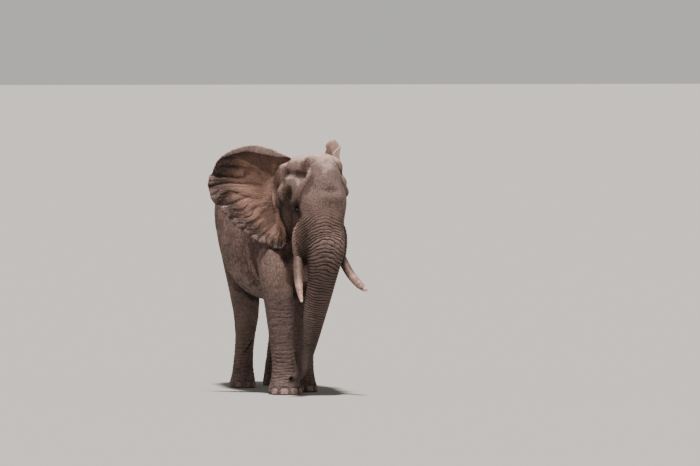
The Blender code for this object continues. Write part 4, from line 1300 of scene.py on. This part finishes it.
def tuskMaterial():
    # Old ivory: a dense, waxy tooth, grown in long fibres, cracked along them and stained by bark and mud.
    made, tree, _ = newMaterial("stained ivory", 0.58, 0.35, 1.54)
    place = addNode(tree, "ShaderNodeTexCoord", out="Object")
    broad = addNode(tree, "ShaderNodeTexNoise", {"Vector": place, "Scale": 16.0, "Detail": 5.0})
    fine = addNode(tree, "ShaderNodeTexNoise", {"Vector": place, "Scale": 45.0, "Detail": 4.0})
    slope = addNode(tree, "ShaderNodeMapping", {"Vector": place, "Scale": (110.0, 110.0, 9.0)})
    fibre = addNode(tree, "ShaderNodeTexNoise", {"Vector": slope, "Scale": 1.0, "Detail": 4.0})
    out = addNode(tree, "ShaderNodeAttribute", {}, "Fac", attribute_name="tuskOut")
    colour = painted(
        tree,
        linear("#a8806f"),
        [
            (broad, 0.46, 0.60, 0.75, "#6f5146"),
            (fine, 0.52, 0.64, 0.60, "#dccabd"),
            (fibre, 0.56, 0.72, 0.65, "#56392b"),
            (out, 0.80, 1.0, 0.75, "#eadcd0"),
            (out, 0.22, 0.02, 0.80, "#4c3a31"),
        ],
    )
    return finished(made, colour, fibre, 0.002)


def makeTusks():
    finish = tuskMaterial()
    for word, side in (("right", -1), ("left", 1)):
        tusk = tuskForm("worn_tusk_" + word, side, tuskMaking["drops"][word], tuskMaking["tips"][word])
        dress(tusk, "ivory", "tusk_" + word, finish=finish)


# The toenails: shields set in the foot's edge, ridged as they grew.
nailMaking = {
    "turns": {"fore": (-58, -20, 18, 54), "hind": (-40, 0, 38)},
    "reach": {"fore": (0.206, 0.196), "hind": (0.191, 0.141)},
    "feet": {
        "fore_right": (0.985, -0.197),
        "fore_left": (0.445, 0.160),
        "hind_right": (-0.745, -0.255),
        "hind_left": (-1.100, 0.285),
    },
    "height": 0.050,
    "halfSizes": (0.020, 0.050, 0.043),  # through, across and up
    "outerShare": 0.86,  # of that width for the nails at a foot's side
    "ridges": 9,
    "ridgeDepths": (0.02, 0.035),  # up the nail and across it
    "lean": -12.0,
    "ground": 0.004,  # where its edge is worn off
}


def nailForm(name, centre, degrees, seed):  # degrees towards the animal's right, from straight ahead
    make = nailMaking
    share = 1.0 if abs(degrees) < 30 else make["outerShare"]
    upward, crossing = make["ridgeDepths"]
    through, across, up = np.array(make["halfSizes"]) * (1, share, 1)
    rings = []
    for level in np.linspace(-1, 1, 34):  # from the ground edge to the cuticle
        width = max(0.02, (1 - max(0.0, level) ** 2.6)) ** 0.5 * (1 - 0.10 * max(0.0, -level))
        width *= 0.985 if level < -0.93 else 1.0
        turn = np.linspace(-math.pi / 2, math.pi / 2, 30)
        sideways = np.sin(turn) * width
        forward = np.abs(np.cos(turn)) ** 0.75 * (1 - 0.30 * max(0.0, level) ** 2)
        forward += upward * np.sin(sideways * make["ridges"] * 2.4 + seed)
        forward += crossing * math.sin(level * 8 + seed) * np.cos(turn)
        front = np.column_stack((forward * through, sideways * across, np.full(30, level * up)))
        back = front[::-1] * (0, 1, 1) + (-0.6 * through, 0, 0)
        rings.append(np.vstack([front, back]))
    made = loft(name, rings)
    turned = Matrix.Identity(4)
    for angle, axis in ((-degrees, "Z"), (make["lean"], "X"), (-90, "Z")):
        turned = turned @ Matrix.Rotation(math.radians(angle), 4, axis)
    made.data.transform(Matrix.Translation(centre) @ turned)
    low = spotsOf(made.data)
    low[:, 2] = np.maximum(low[:, 2], make["ground"])
    setSpots(made.data, low)
    made.data.shade_smooth()
    return made


def nailMaterial():
    # Horn: hard keratin, laid down in ridges, dusty and paler than the hide.
    made, tree, _ = newMaterial("dusty horn nail", 0.62, 0.35, 1.54)
    place = addNode(tree, "ShaderNodeTexCoord", out="Object")
    broad = addNode(tree, "ShaderNodeTexNoise", {"Vector": place, "Scale": 22.0, "Detail": 4.0})
    fine = addNode(tree, "ShaderNodeTexNoise", {"Vector": place, "Scale": 180.0, "Detail": 3.0})
    high = addNode(tree, "ShaderNodeSeparateXYZ", {0: place}, 2)
    colour = painted(
        tree,
        linear("#9b8078"),
        [
            (broad, 0.40, 0.68, 0.8, "#6f5a53"),
            (high, 0.022, 0.004, 0.9, "#4d3c33"),
            (high, 0.070, 0.092, 0.9, "#4f413c"),
        ],
    )
    return finished(made, colour, fine, 0.001)


def nailPlaces():  # each nail's name, turn and middle, with its directions out, across and up as columns
    make = nailMaking
    places = []
    for leg, (forward, left) in make["feet"].items():
        side = 1 if left > 0 else -1
        deep, wide = make["reach"][leg[:4]]
        for number, degrees in enumerate(make["turns"][leg[:4]], 1):
            turn = math.radians(degrees)
            c, s = math.cos(turn), -side * math.sin(turn)
            centre = at(forward + deep * c, left + wide * s, make["height"])
            directions = np.array(((s, c, 0), (-c, s, 0), (0, 0, 1)))
            places.append((f"{leg}_{number}", side * degrees, centre, directions))
    return places


def makeNails():
    finish = nailMaterial()
    for seed, (name, degrees, centre, _) in enumerate(nailPlaces(), 1):
        nail = nailForm("toenail_" + name, centre, degrees, seed)
        dress(nail, "toenail", "nail_" + name, finish=finish)


# The eyes: balls in sockets, each behind a pair of thick, wrinkled lids.
eyeMaking = {
    "radius": 0.0240,
    "aim": (0.62, 0.78, -0.05),  # forward, out and up
    "iris": 0.62,  # radians from the eye's axis
    "pupil": 0.24,
    "lidThick": 0.0045,
    "opening": (0.034, 0.0215),  # half length and half height
    "tilt": 24.0,  # the inner corner lies lower
    "patch": 0.070,  # how far the lids' folds spread
    "foldDepth": 0.0028,
    "foldSpacing": 0.0088,
    "brow": 0.009,  # height of the heavy fold over the upper lid
    "browOut": 0.034,  # how far that lies from the eye's middle
}


def eyeFrame(word):  # the eye's middle, and its directions out, along the lids and up across them
    side = -1 if word == "right" else 1
    low, high = (np.array(corner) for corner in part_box("eye_" + word))
    middle = (low + high) / 2
    aim = inHead(*(np.array(eyeMaking["aim"]) * (1, side, 1))) - inHead(0, 0, 0)
    out = aim / np.linalg.norm(aim)
    level = np.cross((0, 0, 1.0), out) * side  # towards the back on either side
    level /= np.linalg.norm(level)
    rise = np.array((0, 0, 1.0)) - out * out[2]
    rise /= np.linalg.norm(rise)
    tilt = math.radians(eyeMaking["tilt"])
    length = level * math.cos(tilt) + rise * math.sin(tilt)
    across = rise * math.cos(tilt) - level * math.sin(tilt)
    return middle, out, length, across


def makeEye(word, finish):
    make = eyeMaking
    middle, out, length, across = eyeFrame(word)
    bm = bmesh.new()
    bmesh.ops.create_uvsphere(bm, u_segments=64, v_segments=48, radius=1.0)
    local = np.array([corner.co[:] for corner in bm.verts])
    angle = np.arccos(np.clip(local[:, 2], -1, 1))
    cornea = 0.06 * (1 - fade(angle, 0.0, make["iris"] + 0.08))
    spots = middle + (local * (1 + cornea)[:, None] * make["radius"]) @ np.array((length, across, out))
    for corner, spot in zip(bm.verts, spots):
        corner.co = spot
    bmesh.ops.recalc_face_normals(bm, faces=bm.faces)
    eye = added("eyeball_" + word, bpy.data.meshes.new("eyeball_" + word))
    bm.to_mesh(eye.data)
    bm.free()
    mark(eye.data, "fromPupil", angle)
    eye.data.shade_smooth()
    dress(eye, "eye", "eye_" + word, finish=finish)


def eyeMaterial():
    # A wet eye: clear cornea over an amber-brown iris, with a dark brown white.
    look = eyeMaking
    made, tree, surface = newMaterial("wet brown eye", 0.06, 0.6, 1.38)
    place = addNode(tree, "ShaderNodeTexCoord", out="Object")
    streak = addNode(tree, "ShaderNodeTexNoise", {"Vector": place, "Scale": 700.0, "Detail": 2.0})
    angle = addNode(tree, "ShaderNodeAttribute", {}, "Fac", attribute_name="fromPupil")
    colour = painted(
        tree,
        linear("#2c180b"),
        [
            (streak, 0.35, 0.65, 0.8, "#4a2b12"),
            (angle, look["iris"] - 0.14, look["iris"], 1.0, "#1d100a"),
            (angle, look["iris"], look["iris"] + 0.20, 1.0, "#3a2a24"),
            (angle, look["pupil"] + 0.03, look["pupil"] - 0.03, 1.0, "#050404"),
        ],
    )
    surface.inputs["Coat Weight"].default_value = 1.0
    surface.inputs["Coat Roughness"].default_value = 0.03
    return finished(made, colour)


def lidForm(word, body):  # a thick patch of folded skin over the eye, still closed
    make = eyeMaking
    middle, out, length, across = eyeFrame(word)
    rings, around = 44, 96
    turn = np.linspace(0, 2 * math.pi, around, endpoint=False)
    radii = np.linspace(0, 1, rings + 1)[1:] ** 0.9 * make["patch"]
    top = []
    shell = make["radius"] + make["lidThick"]
    for radius in radii:
        places = middle + radius * (np.outer(np.cos(turn), length) + np.outer(np.sin(turn) * 0.85, across))
        heights = []
        for place in places:
            hit, where, _, _ = body.ray_cast(Vector(place + out * 0.20), Vector(-out))
            heights.append((np.array(where) - place) @ out if hit else 0.0)
        heights = np.array(heights)
        share = radius / make["patch"]
        bulge = math.sqrt(max(0.0, shell**2 - radius**2))
        near = 1 - fade(share, 0.22, 0.62)
        wave = np.sin(radius / make["foldSpacing"] * math.pi + 1.2 * np.sin(turn * 2 + 0.6))
        folds = wave * make["foldDepth"]
        folds *= fade(share, 0.30, 0.45) * (1 - fade(share, 0.80, 0.98))
        crest = np.exp(-(((radius - make["browOut"]) / 0.007) ** 2))
        fold = make["brow"] * crest * (0.35 + 0.65 * np.clip(np.sin(turn), 0, 1))
        height = bulge * near + heights * (1 - near) + folds + fold
        height = height + 0.0022 * (1 - fade(share, 0.75, 0.97)) - 0.006 * fade(share, 0.90, 1.0)
        top.append(places + np.outer(height, out))
    base = top[-1] - out * 0.030
    inner = middle - out * 0.035 + (base - middle) * 0.5
    return loft("form", [inner, base, *top[::-1]])


def almondForm(word):  # the space between open lids
    make = eyeMaking
    middle, out, length, across = eyeFrame(word)
    halfLong, halfHigh = make["opening"]
    rings = []
    for depth, grow in ((0.0, 0.86), (make["radius"] + 0.001, 0.98), (0.05, 1.25)):
        points = []
        for turn in np.linspace(0, 2 * math.pi, 40, endpoint=False):
            c, s = math.cos(turn), math.sin(turn)
            high = halfHigh * (1.0 if s > 0 else 0.80) * abs(s) ** 1.25 * math.copysign(1, s)
            points.append(middle + out * depth + length * c * halfLong * grow + across * high * grow)
        rings.append(points)
    return loft("form", rings)


def openEyes(skin):  # lids joined to the face, opened, with a socket behind
    make = eyeMaking
    for word in ("right", "left"):
        cut(skin, lidForm(word, skin), "UNION")
        cut(skin, almondForm(word), "DIFFERENCE")
        socket = ball(eyeFrame(word)[0], [make["radius"] * 1.05 + 0.0006] * 3, segments=48)
        cut(skin, socket, "DIFFERENCE")
        print("eye opened", word, len(skin.data.polygons), "faces")


# Bristle: the tail's brush and the lashes. Each root gives a way, a droop and a thickness.
bristleMaking = {"steps": 7, "sides": 4}


def bristleTree():
    tree = bpy.data.node_groups.new("bristles", "GeometryNodeTree")
    for name, kind in (
        ("Roots", "NodeSocketGeometry"),
        ("Steps", "NodeSocketInt"),
        ("Sides", "NodeSocketInt"),
        ("Finish", "NodeSocketMaterial"),
    ):
        tree.interface.new_socket(name, in_out="INPUT", socket_type=kind)
    tree.interface.new_socket("Bristles", in_out="OUTPUT", socket_type="NodeSocketGeometry")
    given = addNode(tree, "NodeGroupInput").node
    line = addNode(tree, "GeometryNodeCurvePrimitiveLine", {"End": (0, 0, 1)})
    even = addNode(tree, "GeometryNodeResampleCurve", {"Curve": line, "Count": given.outputs["Steps"]})
    standing = {"Points": given.outputs["Roots"], "Instance": even}
    placed = addNode(tree, "GeometryNodeInstanceOnPoints", standing)
    real = addNode(tree, "GeometryNodeRealizeInstances", {"Geometry": placed})
    aim = addNode(tree, "GeometryNodeInputNamedAttribute", {"Name": "aim"}, data_type="FLOAT_VECTOR")
    droop = addNode(tree, "GeometryNodeInputNamedAttribute", {"Name": "droop"}, data_type="FLOAT_VECTOR")
    thick = addNode(tree, "GeometryNodeInputNamedAttribute", {"Name": "thick"}, data_type="FLOAT")
    way = addNode(tree, "GeometryNodeSplineParameter", {}, "Factor")
    squared = addNode(tree, "ShaderNodeMath", {0: way, 1: way}, operation="MULTIPLY")
    path = addNode(tree, "ShaderNodeVectorMath", {0: (0, 0, -1), "Scale": way}, operation="SCALE")
    for bend, share in ((aim, way), (droop, squared)):
        part = addNode(tree, "ShaderNodeVectorMath", {0: bend, "Scale": share}, operation="SCALE")
        path = addNode(tree, "ShaderNodeVectorMath", {0: path, 1: part}, operation="ADD")
    moved = addNode(tree, "GeometryNodeSetPosition", {"Geometry": real, "Offset": path})
    left = addNode(tree, "ShaderNodeMath", {0: 1.05, 1: way}, operation="SUBTRACT")
    taper = addNode(tree, "ShaderNodeMath", {0: left, 1: 0.5}, operation="POWER")
    radius = addNode(tree, "ShaderNodeMath", {0: taper, 1: thick}, operation="MULTIPLY")
    sides = {"Resolution": given.outputs["Sides"], "Radius": 1.0}
    around = addNode(tree, "GeometryNodeCurvePrimitiveCircle", sides)
    swept = {"Curve": moved, "Profile Curve": around, "Scale": radius, "Fill Caps": True}
    hairs = addNode(tree, "GeometryNodeCurveToMesh", swept)
    hairs = addNode(tree, "GeometryNodeRealizeInstances", {"Geometry": hairs})
    done = addNode(tree, "GeometryNodeSetMaterial", {"Geometry": hairs, "Material": given.outputs["Finish"]})
    addNode(tree, "NodeGroupOutput", {"Bristles": done})
    return tree


def growBristles(name, tree, finish, hairs):  # a hair: root, aim, droop, thickness, place on the flat skin
    make = bristleMaking
    roots, aims, droops, thicks, patches = zip(*hairs)
    mesh = bpy.data.meshes.new(name)
    mesh.from_pydata([tuple(root) for root in roots], [], [])
    mark(mesh, "aim", aims, "FLOAT_VECTOR")
    mark(mesh, "droop", droops, "FLOAT_VECTOR")
    mark(mesh, "thick", thicks)
    brush = added(name, mesh)
    grow = brush.modifiers.new("grow", "NODES")
    grow.node_group = tree
    sockets = {item.name: item.identifier for item in tree.interface.items_tree if item.in_out == "INPUT"}
    grow[sockets["Steps"]] = make["steps"]
    grow[sockets["Sides"]] = make["sides"]
    grow[sockets["Finish"]] = finish
    settled(brush)
    mesh = brush.data
    mesh.name = name
    each = make["steps"] * make["sides"]
    share = np.arange(len(mesh.vertices)) % each // make["sides"] / (make["steps"] - 1)
    number = np.arange(len(mesh.vertices)) // each
    patch = np.array(patches)[number] + 0.003 * np.column_stack((np.zeros(len(share)), share))
    patch[:, 0] += 0.003 * (np.arange(len(share)) % make["sides"]) / make["sides"]
    corners = np.empty(len(mesh.loops), np.int32)
    mesh.loops.foreach_get("vertex_index", corners)
    layer = mesh.uv_layers.new(name="OFBake")
    layer.data.foreach_set("uv", patch[corners].astype(np.float32).ravel())
    mesh.shade_smooth()
    return brush


def bristleMaterial():
    # Tail hair: stiff black keratin like wire, glossy along its length, in dusty brown patches.
    made, tree, _ = newMaterial("black tail bristle", 0.38, 0.5, 1.55)
    place = addNode(tree, "ShaderNodeTexCoord", out="Object")
    broad = addNode(tree, "ShaderNodeTexNoise", {"Vector": place, "Scale": 60.0, "Detail": 2.0})
    colour = painted(tree, linear("#15110f"), [(broad, 0.3, 0.7, 1.0, "#3b302a")])
    return finished(made, colour)


tuftMaking = {
    "bristles": 620,
    "top": 1.22,
    "rootSpan": 0.10,  # how far down the tail they root
    "flare": 0.045,  # how far they stand off it
    "length": (0.16, 0.42),
    "thick": 0.0011,
    "seed": 71,
}


def makeTuft(tree, finish):
    make = tuftMaking
    dice = np.random.default_rng(make["seed"])
    rows = smoothRows(tailStations, 60)
    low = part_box("tail_tuft")[0][2] + 0.004
    hairs = []
    for _ in range(make["bristles"]):
        drop = dice.random() ** 1.3 * make["rootSpan"]
        turn = dice.random() * 2 * math.pi
        high = make["top"] - drop * 0.6
        row = rows[np.abs(rows[:, 2] - high).argmin()]
        side, back = math.cos(turn), math.sin(turn)
        root = at(row[0] + back * row[4] * 0.8, row[1] + side * row[3] * 0.8, high)
        length = make["length"][0] + (make["length"][1] - make["length"][0]) * dice.random() ** 0.7
        length = min(length, high - low)
        flare = make["flare"] * (0.3 + dice.random())
        aim = (side * flare * 1.5, -back * flare * 0.7, -length * 0.93)
        droop = (-side * flare * 1.2 + 0.008 * dice.normal(), back * flare * 0.5 + 0.010, -length * 0.07)
        thick = make["thick"] * (0.7 + 0.6 * dice.random())
        hairs.append((root, aim, droop, thick, (0.02 + 0.93 * turn / (2 * math.pi), 0.05 + drop * 8)))
    dress(growBristles("tail_brush", tree, finish, hairs), "tail_hair", "tail_tuft")


lashMaking = {"lashes": 46, "length": (0.035, 0.065), "thick": 0.00045, "seed": 72}


def makeLashes(tree, finish):
    make = lashMaking
    dice = np.random.default_rng(make["seed"])
    halfLong, halfHigh = eyeMaking["opening"]
    for word in ("right", "left"):
        middle, out, length, across = eyeFrame(word)
        hairs = []
        for number in range(make["lashes"]):
            turn = math.pi * (0.12 + 0.76 * (number + 0.5 * dice.random()) / make["lashes"])
            c, s = math.cos(turn), math.sin(turn)
            side = length * c * halfLong + across * s**1.25 * halfHigh * 1.12
            depth = math.sqrt(max(0.0, (eyeMaking["radius"] + 0.003) ** 2 - side @ side))
            root = middle + side + out * depth
            long = make["length"][0] + (make["length"][1] - make["length"][0]) * dice.random()
            aim = (out * 0.75 + length * c * 0.35 + across * (0.05 + 0.1 * dice.random())) * long
            thick = make["thick"] * (0.8 + 0.4 * dice.random())
            patch = (0.2 + 0.6 * number / make["lashes"], 0.5 + 0.1 * dice.random())
            hairs.append((root, aim, (0, 0, -0.75 * long), thick, patch))
        dress(growBristles("eyelashes_" + word, tree, finish, hairs), "tail_hair")


notFlesh = ("eye_", "tusk_", "nail_", "tail_tuft")
fleshNodes = [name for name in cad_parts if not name.startswith(notFlesh)]
makeFloor()
makeLights()
makeCamera()
print("stage ready")
sheets = [earSheet(**ear) for ear in ears.values()]
dress(makeSkin(sheets), "skin", *fleshNodes, finish=skinMaterial())
makeTusks()
makeNails()
wetEye = eyeMaterial()
for word in ("right", "left"):
    makeEye(word, wetEye)
print("tusks, nails and eyes ready")
growing = bristleTree()
bristle = bristleMaterial()
makeTuft(growing, bristle)
makeLashes(growing, bristle)
print("bristle ready")
print("elephant finished")
